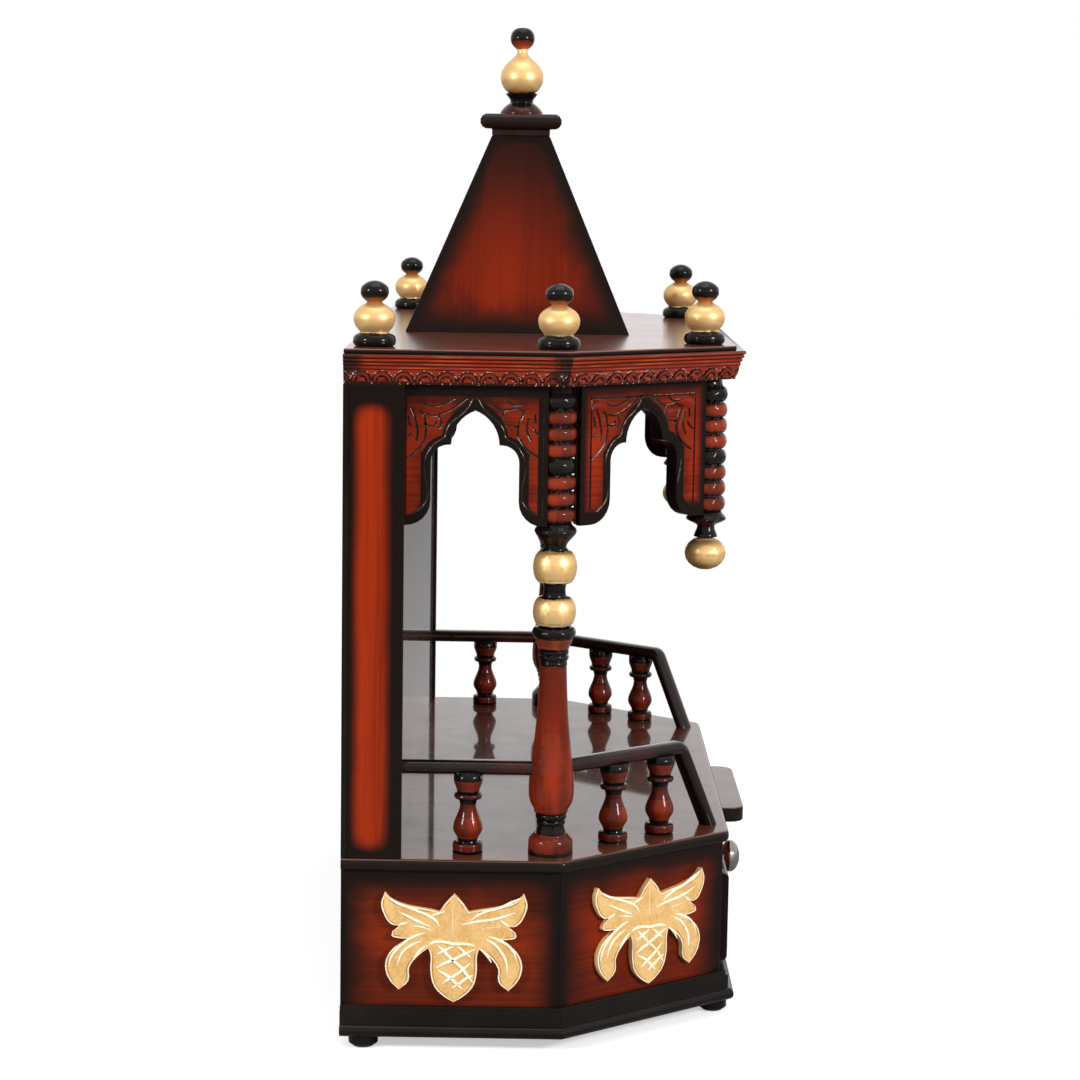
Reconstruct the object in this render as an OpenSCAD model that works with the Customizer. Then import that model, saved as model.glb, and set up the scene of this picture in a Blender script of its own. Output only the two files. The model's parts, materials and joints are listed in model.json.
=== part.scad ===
// Home mandir: a small wooden shrine with a spire, cusped arch panels, turned
// pillars, a railing, a drawer and a pull-out lamp tray.
// Frame: +Z up, the front faces -Y, the feet stand on z = 0, and the origin is the
// middle of the footprint. The modules draw with the back face on y = 0, and place()
// moves them forward into that frame.

/* [Plan] */
// Width of the deck and of the wall pair
body_w = 600; // [560:5:660]
// Depth of the deck from the wall plane to the front edge
body_d = 291; // [280:1:330]
// Depth of the straight sides, back face to diagonal corner
side_d = 163; // [150:1:175]
// Width of the front face between the diagonal corners
front_w = 400; // [380:5:430]

/* [Heights] */
// Height of the button feet
foot_h = 10; // [6:0.5:16]
// Height of the cabinet boards, feet to deck
cabinet_h = 125; // [123:1:150]
// Thickness of the deck
deck_t = 9; // [7:0.5:14]
// Height from deck to roof board
hall_h = 370.5; // [350:0.5:440]
// Height of the cornice moulding
cornice_h = 21.5; // [18:0.5:26]
// Thickness of the roof board
roof_t = 3.5; // [2.5:0.5:8]
// Height of the spire boards
spire_h = 156; // [120:0.5:220]

/* [Boards] */
// Thickness of the cabinet boards, side walls and arch panels
board_t = 12; // [9:0.5:14]
// Thickness of the thin back boards
back_t = 4; // [3:0.5:6]
// Thickness of the cabinet floor
floor_t = 6; // [4:0.5:8]
// Depth of the side walls, back face to front edge
wall_d = 44.5; // [38:0.5:48]
// Thickness of the hall's inner back panel
lining_t = 6; // [4:0.5:10]
// Set-back of that panel behind the side walls' front edges
lining_set = 2.5; // [1:0.5:5]

/* [Mouldings] */
// Overhang of the plinth past the deck edge
plinth_out = 8; // [6:0.5:14]
// Height of the plinth moulding
plinth_h = 22.5; // [20:0.5:24]
// Overhang of the cornice past the deck edge
cornice_out = 4.5; // [3:0.5:10]
// Distance from one scallop of the cornice to the next
scallop_pitch = 15.3; // [13:0.1:20]

/* [Arches] */
// Half width of the opening in a side or diagonal arch panel
arch_w = 32; // [28:0.5:36]
// Height of an arch apex below the roof board
arch_top_gap = 40.5; // [36:0.5:48]
// Height of an arch panel from its feet to the roof board
arch_panel_h = 124.5; // [118:0.5:130]

/* [Pillars and railing] */
// Distance of the pillar line inside the deck edge
pillar_inset = 26; // [25:0.5:28]
// Distance of the pendants inside the deck edge
pendant_inset = 22; // [21:0.5:28]
// Largest radius of a pillar
pillar_r = 17.2; // [15:0.1:17.5]
// Radius of the beads at the top of a pillar
bead_r = 14.3; // [13:0.1:14.5]
// Distance from one bead to the next
bead_pitch = 11.9; // [10:0.1:12.5]
// Number of beads on a pillar or pendant
bead_count = 8; // [6:1:8]
// Height of the railing's centre line above the deck
rail_z = 64.5; // [60:0.5:80]
// Width of the railing bar
rail_w = 15; // [12:0.5:18]
// Thickness of the railing bar
rail_t = 10.5; // [8:0.5:12]
// Radius of a baluster's foot
baluster_r = 11.3; // [9:0.1:13]

/* [Drawer and tray] */
// Width of the drawer front
drawer_w = 372; // [330:1:380]
// Height of the drawer front
drawer_h = 70; // [60:1:72]
// Thickness of the drawer front
drawer_front_t = 6; // [5:0.5:10]
// Depth of the drawer box behind its front
drawer_d = 235; // [180:1:250]
// Thickness of the drawer's sides and back
drawer_side_t = 8; // [6:0.5:10]
// Diameter of the drawer knob
knob_d = 27; // [20:0.5:34]
// Width of the lamp tray
tray_w = 152; // [120:1:200]
// Thickness of the lamp tray
tray_t = 12; // [9:0.5:13]
// How far the lamp tray stands out of the deck's front edge
tray_out = 22.6; // [15:0.1:60]
// Length of the lamp tray, front to back
tray_d = 230; // [180:1:240]
// Running clearance of the drawer and the tray
slide_gap = 0.4; // [0.2:0.1:0.8]

/* [Roof] */
// Width of the spire at its foot, left to right
spire_w = 178; // [150:1:240]
// Depth of the spire at its foot, front to back
spire_d = 178; // [150:1:190]
// Width of the spire at its top, left to right
spire_top_w = 47; // [40:1:52]
// Depth of the spire at its top, front to back
spire_top_d = 47; // [40:1:52]
// Distance of the spire's axis from the back face
spire_y = 122; // [105:0.5:135]
// Thickness of the spire boards
spire_t = 8; // [6:0.5:10]
// Size of the square cap plate
cap_w = 66; // [60:1:76]
// Height of a roof finial
finial_h = 47.5; // [40:0.5:60]
// Radius of a roof finial's foot
finial_r = 15.7; // [13:0.1:18]
// Height of the spire's finial
spire_finial_h = 70; // [50:1:90]
// Radius of the spire finial's foot
spire_finial_r = 17.8; // [14:0.1:22]

/* [Emblems] */
// Width of a carved emblem over its wings
emblem_w = 107; // [90:1:116]
// Height of the emblem's knot above the floor
emblem_z = 83.4; // [80:0.2:88]
// Thickness of an emblem
emblem_t = 5; // [3:0.5:8]

/* [Feet and screws] */
// Diameter of a foot
foot_d = 22; // [18:0.5:26]
// Diameter of the wall screw holes
screw_d = 5; // [4:0.5:6]
// Distance between the two wall screw holes
screw_span = 400; // [300:10:460]

/* [Hidden] */

$fn = 48;
half_w = body_w / 2;
half_f = front_w / 2;
eps = 0.01;

// Levels
z_deck_low = foot_h + cabinet_h;
z_deck = z_deck_low + deck_t;
z_roof_low = z_deck + hall_h;
z_roof = z_roof_low + roof_t;
z_cornice = z_roof_low - cornice_h;
z_arch_low = z_roof_low - arch_panel_h;
z_arch_top = z_roof_low - arch_top_gap;

// Direction of the diagonal faces: angle from the X axis
diag = atan2(body_d - side_d, half_w - half_f);
diag_len = norm([body_d - side_d, half_w - half_f]);
// How much each plan corner moves along its face for each millimetre of offset
side_slip = (1 - sin(diag)) / cos(diag);
front_slip = (1 - cos(diag)) / sin(diag);

// Plan corners at an offset o outside the deck edge, right-hand side
function side_corner(o) = [half_w + o, -side_d - o * side_slip];
function front_corner(o) = [half_f + o * front_slip, -body_d - o];
function flip(p) = [-p[0], p[1]];
function plan(o) = [[-half_w - o, 0], flip(side_corner(o)), flip(front_corner(o)),
    front_corner(o), side_corner(o), [half_w + o, 0]];

// Plan corners rounded with radius r; a corner p has its arc between two face normals
function corner_arc(p, a0, a1, r) = [for (i = [0:5]) let (a = a0 + (a1 - a0) * i / 5)
    p + r * [cos(a), sin(a)]];
function soft_plan(o, r) = concat([[-half_w - o, 0]],
    corner_arc(flip(side_corner(o - r)), 180, 270 - diag, r),
    corner_arc(flip(front_corner(o - r)), 270 - diag, 270, r),
    corner_arc(front_corner(o - r), 270, 270 + diag, r),
    corner_arc(side_corner(o - r), 270 + diag, 360, r),
    [[half_w + o, 0]]);

// Pieces of a face between two offsets, as plan outlines
module side_plan(o0, o1, y0 = 0) {
    polygon([[half_w + o0, y0], [half_w + o1, y0], side_corner(o1), side_corner(o0)]);
}
module diagonal_plan(o0, o1) {
    polygon([side_corner(o0), side_corner(o1), front_corner(o1), front_corner(o0)]);
}
module front_plan(o0, o1) {
    polygon([front_corner(o0), front_corner(o1), flip(front_corner(o1)), flip(front_corner(o0))]);
}

module both() {
    children();
    mirror([1, 0, 0]) children();
}

// Frames along the faces: local X runs along the face, local Y points out of it, Z up
module on_side(o) {
    translate([half_w + o, 0, 0]) rotate([0, 0, -90]) children();
}
module on_diagonal(o) {
    translate([side_corner(o)[0], side_corner(o)[1], 0]) rotate([0, 0, diag - 180]) children();
}
module on_front(o) {
    translate([0, -body_d - o, 0]) rotate([0, 0, 180]) children();
}

// A moulding of a given length, its section drawn with x outwards and y up
module moulding_run(len) {
    rotate([90, 0, -90]) linear_extrude(len) mirror([1, 0]) children();
}

// Turned outlines: lists of [radius, height]
function bead(z0, z1, r0, r1, n = 8) = [for (i = [0:n]) let (a = 180 * i / n)
    [r0 + (r1 - r0) * sin(a), z0 + (z1 - z0) * (1 - cos(a)) / 2]];
function ease(z0, z1, r0, r1, n = 6) = [for (i = [0:n]) let (t = i / n)
    [r0 + (r1 - r0) * (1 - cos(180 * t)) / 2, z0 + (z1 - z0) * t]];
module turned(outline) {
    last = len(outline) - 1;
    rotate_extrude() polygon(concat([[0, outline[0][1]]], outline, [[0, outline[last][1]]]));
}

// The forward-most point is the drawer knob or the lamp tray
base_o = -3;
drawer_gap = 0.3;
knob_len = 22.5;
front_reach = max(body_d + tray_out, body_d + base_o + drawer_gap + drawer_front_t + knob_len);
module place() {
    translate([0, front_reach / 2, 0]) children();
}

// ---- Base cabinet ----

foot_in = 8;
base_in = base_o - board_t;
module foot() {
    turned(concat([[foot_d / 2 - 3, 0]], ease(0, 3, foot_d / 2 - 3, foot_d / 2), [[foot_d / 2, foot_h]]));
}
foot_back_y = foot_d / 2 + 6;
foot_slip = 2;
module feet() color([0.10, 0.06, 0.05]) both() {
    translate([half_w - foot_in, -foot_back_y, 0]) foot();
    translate([front_corner(-foot_in)[0] - foot_slip, front_corner(-foot_in)[1], 0]) foot();
}

module cabinet_board() {
    translate([0, 0, foot_h]) linear_extrude(cabinet_h) children();
}
module base_floor() color([0.30, 0.14, 0.09])
    translate([0, 0, foot_h + 2]) linear_extrude(floor_t)
        difference() {
            polygon(plan(base_in));
            translate([-body_w, -back_t]) square([2 * body_w, body_w]);
        }
module base_back() color([0.16, 0.09, 0.07]) cabinet_board()
    translate([-half_w - base_in, -back_t]) square([2 * (half_w + base_in), back_t]);
module base_side() color([0.42, 0.12, 0.07]) cabinet_board() side_plan(base_in, base_o);
module base_diagonal() color([0.42, 0.12, 0.07]) cabinet_board() diagonal_plan(base_in, base_o);

drawer_z = foot_h + plinth_h + 3.5;
drawer_lip = 14;
box_w = drawer_w - 2 * drawer_lip;
box_z = drawer_z + 5;
box_h = drawer_h - 10;
tray_top = z_deck_low - 3.5;
front_y = -body_d - base_o;
module base_front() color([0.20, 0.08, 0.06]) difference() {
    cabinet_board() front_plan(base_in, base_o);
    translate([-box_w / 2 - 1.5, front_y - 2 * board_t, box_z - 1.5])
        cube([box_w + 3, 4 * board_t, box_h + 3]);
    translate([-tray_w / 2 - 1.5, front_y - 2 * board_t, tray_top - tray_t - 1.5])
        cube([tray_w + 3, 4 * board_t, tray_t + 3]);
}

// Plinth section: stepped top, cove and a bullnose at the foot
plinth_t = plinth_out - base_o;
nose_r = 4.6;
module plinth_section() {
    difference() {
        union() {
            square([plinth_t - 6.5, plinth_h]);
            square([plinth_t - 4.5, plinth_h - 3]);
            square([plinth_t - nose_r, plinth_h - 7]);
            translate([plinth_t - nose_r, nose_r]) circle(nose_r);
        }
        translate([plinth_t + 0.5, 2 * nose_r + 4]) circle(4.6);
    }
}
module plinth_side() intersection() {
    on_side(base_o) translate([side_d * 1.2, 0, foot_h]) moulding_run(side_d * 1.2) plinth_section();
    linear_extrude(z_deck) side_plan(-30, 40);
}
module plinth_sides() color([0.09, 0.06, 0.05]) both() plinth_side();
module plinth_diagonals() color([0.09, 0.06, 0.05]) both() intersection() {
    on_diagonal(base_o) translate([diag_len + 30, 0, foot_h]) moulding_run(diag_len + 60) plinth_section();
    linear_extrude(z_deck) diagonal_plan(-30, 40);
}
module plinth_front() color([0.09, 0.06, 0.05]) intersection() {
    on_front(base_o) translate([half_f + 30, 0, foot_h]) moulding_run(front_w + 60) plinth_section();
    linear_extrude(z_deck) front_plan(-30, 40);
}

deck_corner_r = 10;
deck_edge_r = 3;
deck_o = 1.5;
module deck() color([0.08, 0.05, 0.05]) hull() for (i = [0:3], top = [0, 1])
    let (lift = deck_edge_r * (1 - sin(i * 30)))
        translate([0, 0, top ? z_deck - lift - eps : z_deck_low + lift])
            linear_extrude(eps) polygon(soft_plan(deck_o - deck_edge_r * (1 - cos(i * 30)), deck_corner_r));

// Runners under the drawer, and grooved guides that hold the tray's edges
module slide_runners() color([0.45, 0.30, 0.18]) both() {
    translate([box_w / 2 - 22, -body_d - base_in, foot_h + 2 + floor_t])
        cube([16, body_d + base_in - back_t - 4, box_z - slide_gap - foot_h - 2 - floor_t]);
    translate([tray_w / 2 - 10, -body_d - base_in, tray_top - tray_t - 4 - slide_gap])
        difference() {
            cube([22, body_d + base_in - back_t - 4, z_deck_low - tray_top + tray_t + 4 + slide_gap]);
            translate([-1, -1, 4])
                cube([11 + slide_gap, body_d, z_deck_low]);
        }
}

// ---- Drawer ----

drawer_y = front_y - drawer_gap;
drawer_edge_r = 4;
module drawer_front() color([0.18, 0.07, 0.05])
    translate([-drawer_w / 2, drawer_y, drawer_z]) rotate([90, 0, 90]) linear_extrude(drawer_w) {
        translate([-drawer_front_t + drawer_edge_r, 0])
            square([drawer_front_t - drawer_edge_r, drawer_h]);
        translate([-drawer_front_t, drawer_edge_r]) square([drawer_front_t, drawer_h - 2 * drawer_edge_r]);
        for (z = [drawer_edge_r, drawer_h - drawer_edge_r])
            translate([-drawer_front_t + drawer_edge_r, z]) difference() {
                circle(drawer_edge_r);
                translate([0, -2 * drawer_edge_r]) square(4 * drawer_edge_r);
            }
    }
module drawer_sides() color([0.50, 0.34, 0.20]) both()
    translate([box_w / 2 - drawer_side_t, drawer_y, box_z]) cube([drawer_side_t, drawer_d, box_h]);
module drawer_back() color([0.50, 0.34, 0.20])
    translate([-box_w / 2 + drawer_side_t, drawer_y + drawer_d - drawer_side_t, box_z])
        cube([box_w - 2 * drawer_side_t, drawer_side_t, box_h]);
module drawer_bottom() color([0.50, 0.34, 0.20])
    translate([-box_w / 2 + drawer_side_t, drawer_y, box_z])
        cube([box_w - 2 * drawer_side_t, drawer_d - drawer_side_t, 4]);
knob_r = knob_d / 2;
knob_stem_r = 4;
knob_bowl = 6.7;
knob_dome = 8.3;
// Knob on a round stem, with a bowl-shaped back and a domed face
module drawer_knob() color([0.80, 0.80, 0.82])
    translate([0, drawer_y - drawer_front_t, drawer_z + drawer_h / 2]) rotate([90, 0, 0])
        turned(concat([[6, 0]], ease(0, 4, 6, knob_stem_r), [for (a = [0:15:90])
            [knob_stem_r + (knob_r - knob_stem_r) * sin(a), knob_len - knob_dome - knob_bowl * cos(a)]],
            [for (a = [15:15:75]) [knob_r * cos(a), knob_len - knob_dome * (1 - sin(a))]],
            [[0.5, knob_len]]));

// ---- Lamp tray ----

tray_corner_r = 12;
module lamp_tray() color([0.10, 0.06, 0.05])
    translate([0, -body_d - tray_out, tray_top - tray_t]) linear_extrude(tray_t) union() {
        translate([-tray_w / 2, tray_corner_r]) square([tray_w, tray_d - tray_corner_r]);
        translate([-tray_w / 2 + tray_corner_r, 0]) square([tray_w - 2 * tray_corner_r, tray_d]);
        for (s = [-1, 1]) translate([s * (tray_w / 2 - tray_corner_r), tray_corner_r]) circle(tray_corner_r);
    }

// ---- Hall ----

// The back is hollow: an inner panel at the side walls' front edges and a thin board behind,
// with two screw holes through both
lining_y = wall_d - lining_set;
module screw_holes() for (s = [-1, 1])
    translate([s * screw_span / 2, 1, z_cornice - 20]) rotate([90, 0, 0])
        cylinder(d = screw_d, h = wall_d + 2);
module back_panel() color([0.10, 0.06, 0.05]) difference() {
    translate([-half_w + board_t, -lining_y, z_deck]) cube([body_w - 2 * board_t, lining_t, hall_h]);
    screw_holes();
}
module back_board() color([0.20, 0.09, 0.06]) difference() {
    union() {
        translate([-half_w, -back_t, z_deck]) cube([body_w, back_t, z_cornice - z_deck]);
        translate([-half_w + board_t, -back_t, z_cornice - eps])
            cube([body_w - 2 * board_t, back_t, cornice_h + eps]);
    }
    screw_holes();
}
module side_wall() color([0.48, 0.13, 0.07])
    translate([half_w - board_t, -wall_d, z_deck]) cube([board_t, wall_d - back_t, z_cornice - z_deck]);

// Pillar, deck to roof board
bead_top = hall_h - cornice_h - 6;
collar_top = bead_top - bead_count * bead_pitch;
ball_top = collar_top - 20.5;
ball_r = pillar_r - 1;
neck_r = 8;
vase_top = ball_top - 86.5;
vase_low = 31.5;
function beads(z1) = [for (i = [0:bead_count - 1])
    each bead(z1 - (bead_count - i) * bead_pitch, z1 - (bead_count - 1 - i) * bead_pitch, bead_r - 3.6, bead_r, 6)];
function ball_part(z1) = concat(
    ease(z1 - 28, z1 - 24.3, 10.5, 10.5, 1), bead(z1 - 24.3, z1, 10, ball_r));
module pillar() turned(concat(
    [[pillar_r - 0.4, 0], [pillar_r - 0.7, 10]],
    ease(11, 16, pillar_r - 1, 12.5, 4), ease(16, 22, 11, 9.7, 3),
    bead(22, 26, 9.7, 10.8, 4), bead(26, vase_low, 10.5, 11.6, 4),
    ease(vase_low, vase_low + 20, 12.5, pillar_r, 8),
    ease(vase_low + 20, vase_top, pillar_r, 9.9, 14),
    bead(vase_top, vase_top + 5.3, 9.4, 10.2, 3),
    bead(vase_top + 5.3, vase_top + 9.4, 10, 11.3, 4), bead(vase_top + 9.4, vase_top + 13.5, 10, 11.3, 4),
    ease(vase_top + 13.5, vase_top + 21.7, 11.2, 14.2, 3),
    bead(vase_top + 21.7, vase_top + 30, 13, ball_r, 6),
    bead(vase_top + 30, vase_top + 52.4, 10, ball_r - 0.3),
    bead(vase_top + 52.4, vase_top + 62.2, 9, neck_r, 4),
    bead(vase_top + 62.2, ball_top, 10, ball_r),
    ease(ball_top, ball_top + 2.6, 10, neck_r, 2),
    ease(ball_top + 2.6, ball_top + 15, neck_r, 15.6, 6), ease(ball_top + 15, collar_top, 15.6, 11.5, 4),
    beads(bead_top), [[12, bead_top], [12, hall_h]]));
module pillar_at() color([0.50, 0.13, 0.07])
    translate([side_corner(-pillar_inset)[0], side_corner(-pillar_inset)[1], z_deck]) pillar();

pendant_ball_h = 25.5;
pendant_ball_r = 15.7;
pendant_ball_top = collar_top - 20;
pendant_ball_low = pendant_ball_top - pendant_ball_h;
// Behind the cornice a pendant is a plain post, held by the roof board
pendant_post_r = 9.5;
pendant_post_z = hall_h - cornice_h;
module pendant() turned(concat(
    [[0.5, pendant_ball_low]], bead(pendant_ball_low, pendant_ball_top, 0.5, pendant_ball_r, 10),
    ease(pendant_ball_top, collar_top - 12, 9, 6.5, 3), ease(collar_top - 12, collar_top - 6, 6.5, 15.4, 5),
    ease(collar_top - 6, collar_top, 15.4, 11.5, 3),
    [for (p = beads(bead_top)) if (p[1] < pendant_post_z) p],
    [[pendant_post_r, pendant_post_z], [pendant_post_r, hall_h]]));
module pendants() color([0.50, 0.13, 0.07]) both()
    translate([front_corner(-pendant_inset)[0], front_corner(-pendant_inset)[1], z_deck]) pendant();

// Arch panels: x from the middle of the arch, y from the roof board's underside down
arch_lobe_r = 12.5;
arch_point_w = arch_w - arch_lobe_r - 2;
arch_point_h = 25;
// Width of the straight foot beside the flare of a side and of a diagonal panel
side_foot = 2.8;
diagonal_foot = 10.2;
function arc(x, y, r, a0, a1, n = 6) = [for (i = [0:n]) let (a = a0 + (a1 - a0) * i / n)
    [x + r * cos(a), y + r * sin(a)]];
// Right half of the opening from its foot to the apex: rounded leg, lobe, cusp, pointed top
function arch_half(flare_r) = let (shoulder = -arch_top_gap - arch_point_h,
        c = (arch_point_h * arch_point_h - arch_point_w * arch_point_w) / (2 * arch_point_w))
    concat(arc(arch_w + flare_r, flare_r - arch_panel_h, flare_r, 270, 180),
        arc(arch_w - arch_lobe_r, shoulder - arch_lobe_r, arch_lobe_r, 0, 90),
        arc(-c, shoulder, c + arch_point_w, 0, atan2(arch_point_h, c), 8));
function mirrored(points) = [for (i = [len(points) - 2:-1:0]) flip(points[i])];
module arch_board(half_len, foot) {
    half = arch_half(half_len - arch_w - foot);
    rotate([90, 0, 0]) linear_extrude(board_t) polygon(concat([[half_len, 0], [half_len, -arch_panel_h]],
        half, mirrored(half), [[-half_len, -arch_panel_h], [-half_len, 0]]));
}
column_gap = 0.3;
module column_bore() {
    for (c = [side_corner(-pillar_inset), front_corner(-pendant_inset)])
        translate([c[0], c[1], z_arch_low - 10]) cylinder(r = bead_r + column_gap, h = hall_h);
}
side_arch_end = -side_corner(-pillar_inset)[1] - 6.5;
side_arch_start = lining_y;
module arch_side() color([0.45, 0.12, 0.07]) difference() {
    on_side(-board_t) translate([(side_arch_start + side_arch_end) / 2, 0, z_roof_low])
        arch_board((side_arch_end - side_arch_start) / 2, side_foot);
    column_bore();
}
arch_face_len = norm(front_corner(-board_t) - side_corner(-board_t));
diagonal_arch_half = arch_face_len / 2 - 16;
module arch_diagonal() color([0.45, 0.12, 0.07]) difference() {
    on_diagonal(-board_t) translate([arch_face_len / 2, 0, z_roof_low])
        arch_board(diagonal_arch_half, diagonal_foot);
    column_bore();
}
front_arch_half = front_corner(-board_t)[0] - 14;
front_arch_post = 22;
front_lobes = 4;
front_lobe_r = 21;
module front_opening() {
    span = front_arch_half - front_arch_post;
    rise = arch_panel_h - arch_top_gap - front_lobe_r - 5;
    // scalloped edge: lobes along a half ellipse, the last pair cut by the panel's foot
    for (i = [-front_lobes:front_lobes]) let (a = 90 - i * 90 / front_lobes)
        translate([(span - front_lobe_r) * cos(a), rise * sin(a) - arch_panel_h])
            circle(front_lobe_r);
    translate([0, -arch_panel_h]) polygon(concat([[span - 4, -1], [4 - span, -1]],
        [for (i = [-12:12]) let (a = 90 - i * 90 / 12) [(span - 4) * cos(a), (rise + 8) * sin(a)]]));
    // pointed middle
    translate([0, -arch_top_gap - 26]) intersection_for (x = [-12, 12])
        translate([x, 0]) circle(29);
}
module arch_front() color([0.45, 0.12, 0.07]) difference() {
    on_front(-board_t) translate([0, 0, z_roof_low]) rotate([90, 0, 0]) linear_extrude(board_t) difference() {
        translate([-front_arch_half, -arch_panel_h]) square([2 * front_arch_half, arch_panel_h]);
        front_opening();
    }
    both() column_bore();
}

// ---- Cornice and roof ----

cornice_t = cornice_out + board_t;
reed_h = 11;
reed_r = reed_h / 8;
reed_step = 1.25;
band_h = cornice_h - reed_h;
band_low = cornice_t - 7.5;
band_high = cornice_t - 4.4;
module cornice_section() {
    // local x runs outwards from the arch panels' face, y up from the cornice's foot
    polygon([[0, 0], [band_low, 0], [band_low, 1], [band_high, band_h],
        [band_high, band_h + 1], [cornice_t - reed_r, cornice_h], [0, cornice_h]]);
    for (i = [0:3]) translate([cornice_t - reed_r - (3 - i) * reed_step, band_h + (i + 0.5) * reed_h / 4])
        circle(reed_r, $fn = 24);
}
// A scallop stands square on the sloping band: a half ring over a half-round bead
band_tilt = atan2(band_high - band_low, band_h - 1);
scallop_z = 2.2;
scallop_out = 1.5;
scallop_y = band_low + (scallop_z - 1) * tan(band_tilt);
module upper_half(low) intersection() {
    children();
    translate([-scallop_pitch, low, -scallop_pitch]) cube(2 * scallop_pitch);
}
module scallop() translate([0, scallop_y, z_cornice + scallop_z]) rotate([90 - band_tilt, 0, 0])
    translate([0, 0, -scallop_out]) {
        upper_half(1.6) difference() {
            cylinder(r = 6.6, h = 3, $fn = 32);
            translate([0, 0, -1]) cylinder(r = 4.4, h = 5, $fn = 24);
        }
        upper_half(0) cylinder(r = 3.2, h = 3, $fn = 24);
    }
module scallops(len) {
    n = floor(len / scallop_pitch - 0.3);
    for (i = [0:n - 1]) translate([(len - (n - 1) * scallop_pitch) / 2 + i * scallop_pitch, 0, 0]) scallop();
}
module cornice_run(len) {
    translate([len, 0, z_cornice]) moulding_run(len) cornice_section();
}
module cornice_sides() color([0.30, 0.09, 0.06]) both() {
    intersection() {
        on_side(-board_t) cornice_run(side_d * 1.2);
        linear_extrude(z_roof) side_plan(-30, 40);
    }
    on_side(-board_t) scallops(side_d);
}
module cornice_diagonals() color([0.30, 0.09, 0.06]) both() {
    intersection() {
        on_diagonal(-board_t) translate([-30, 0, 0]) cornice_run(diag_len + 60);
        linear_extrude(z_roof) diagonal_plan(-30, 40);
    }
    on_diagonal(-board_t) translate([arch_face_len / 2 - diag_len / 2, 0, 0]) scallops(diag_len);
}
module cornice_front() color([0.30, 0.09, 0.06]) {
    intersection() {
        on_front(-board_t) translate([-half_f - 30, 0, 0]) cornice_run(front_w + 60);
        linear_extrude(z_roof) front_plan(-30, 40);
    }
    on_front(-board_t) translate([-half_f, 0, 0]) scallops(front_w);
}

roof_o = -2.5;
module roof_board() color([0.08, 0.05, 0.05])
    translate([0, 0, z_roof_low]) linear_extrude(roof_t) polygon(plan(roof_o));

// Spire: four mitred boards round a hollow, each with eight corners
function spire_corner(grow, top) = top
    ? [spire_top_w / 2 + grow, spire_top_d / 2 + grow, spire_h]
    : [spire_w / 2 + grow, spire_d / 2 + grow, 0];
BOARD_FACES = [[0, 1, 3, 2], [4, 6, 7, 5], [0, 4, 5, 1], [2, 3, 7, 6], [0, 2, 6, 4], [1, 5, 7, 3]];
module spire_board(turn) {
    // the board faces +X, or +Y when turned
    points = [for (grow = [-spire_t, 0], top = [false, true], s = [-1, 1])
        let (c = spire_corner(grow, top)) turn ? [-s * c[0], c[1], c[2]] : [c[0], s * c[1], c[2]]];
    polyhedron(points, BOARD_FACES);
}
module spire_at() translate([0, -spire_y, z_roof]) children();
module spire_sides() color([0.45, 0.12, 0.07]) spire_at() both() spire_board(false);
module spire_ends() color([0.45, 0.12, 0.07]) spire_at() for (s = [0, 1])
    mirror([0, s, 0]) spire_board(true);

neck_h = 5.5;
cap_t = 12;
z_spire_top = z_roof + spire_h;
// Cap plate with half-round edges, on a neck as wide as the spire's top
module spire_cap() color([0.08, 0.05, 0.05]) translate([0, -spire_y, z_spire_top]) {
    translate([-spire_top_w / 2, -spire_top_d / 2, 0]) cube([spire_top_w, spire_top_d, neck_h + 1]);
    hull() for (a = [-75:30:75])
        translate([0, 0, neck_h + (cap_t - eps) / 2 * (1 + sin(a) / sin(75))])
            linear_extrude(eps) square(cap_w - cap_t * (1 - cos(a)), center = true);
}
z_cap = z_spire_top + neck_h + cap_t;
// Turned outlines of finials are drawn with a foot radius of 1 and a height of 1
function stretched(outline, kr, kz) = [for (p = outline) [kr * p[0], kz * p[1]]];
module spire_finial() color([0.85, 0.66, 0.35]) translate([0, -spire_y, z_cap])
    turned(stretched(concat([[1, 0]], [for (a = [0:18:90]) [0.58 + 0.42 * cos(a), 0.02 + 0.1 * sin(a)]],
        bead(0.12, 0.171, 0.56, 0.51, 3), ease(0.171, 0.214, 0.53, 0.72, 3),
        bead(0.214, 0.243, 0.72, 0.74, 2), ease(0.243, 0.414, 0.62, 0.98, 6),
        ease(0.414, 0.614, 0.98, 0.56, 6), ease(0.614, 0.729, 0.56, 0.225, 4),
        bead(0.729, 0.75, 0.225, 0.26, 2), bead(0.75, 1, 0.2, 0.57, 10)), spire_finial_r, spire_finial_h));

// Roof finials, with a mushroom head over a gold ball and a round foot
module roof_finial() turned(stretched(concat(
    [[0.8, 0]], bead(0, 0.2, 0.84, 1, 6), [[0.66, 0.21]],
    [for (a = [15:15:75]) [0.66 + 0.325 * sin(a), 0.446 - 0.231 * cos(a)]],
    ease(0.446, 0.673, 0.985, 0.34, 8),
    [for (a = [15:15:75]) [0.34 + 0.34 * sin(a), 0.84 - 0.167 * cos(a)]],
    [for (a = [0:15:90]) [0.45 + 0.23 * cos(a), 0.84 + 0.14 * sin(a)]], [[0.3, 1]]), finial_r, finial_h));
back_finial = [-35, -20];
finial_shift = 6;
module roof_finials() color([0.80, 0.60, 0.30]) both() translate([0, 0, z_roof]) {
    translate([half_w + back_finial[0], back_finial[1], 0]) roof_finial();
    for (c = [side_corner(-pillar_inset), front_corner(-pillar_inset)])
        translate([c[0] - finial_shift, c[1], 0]) roof_finial();
}

// ---- Railing ----

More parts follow.
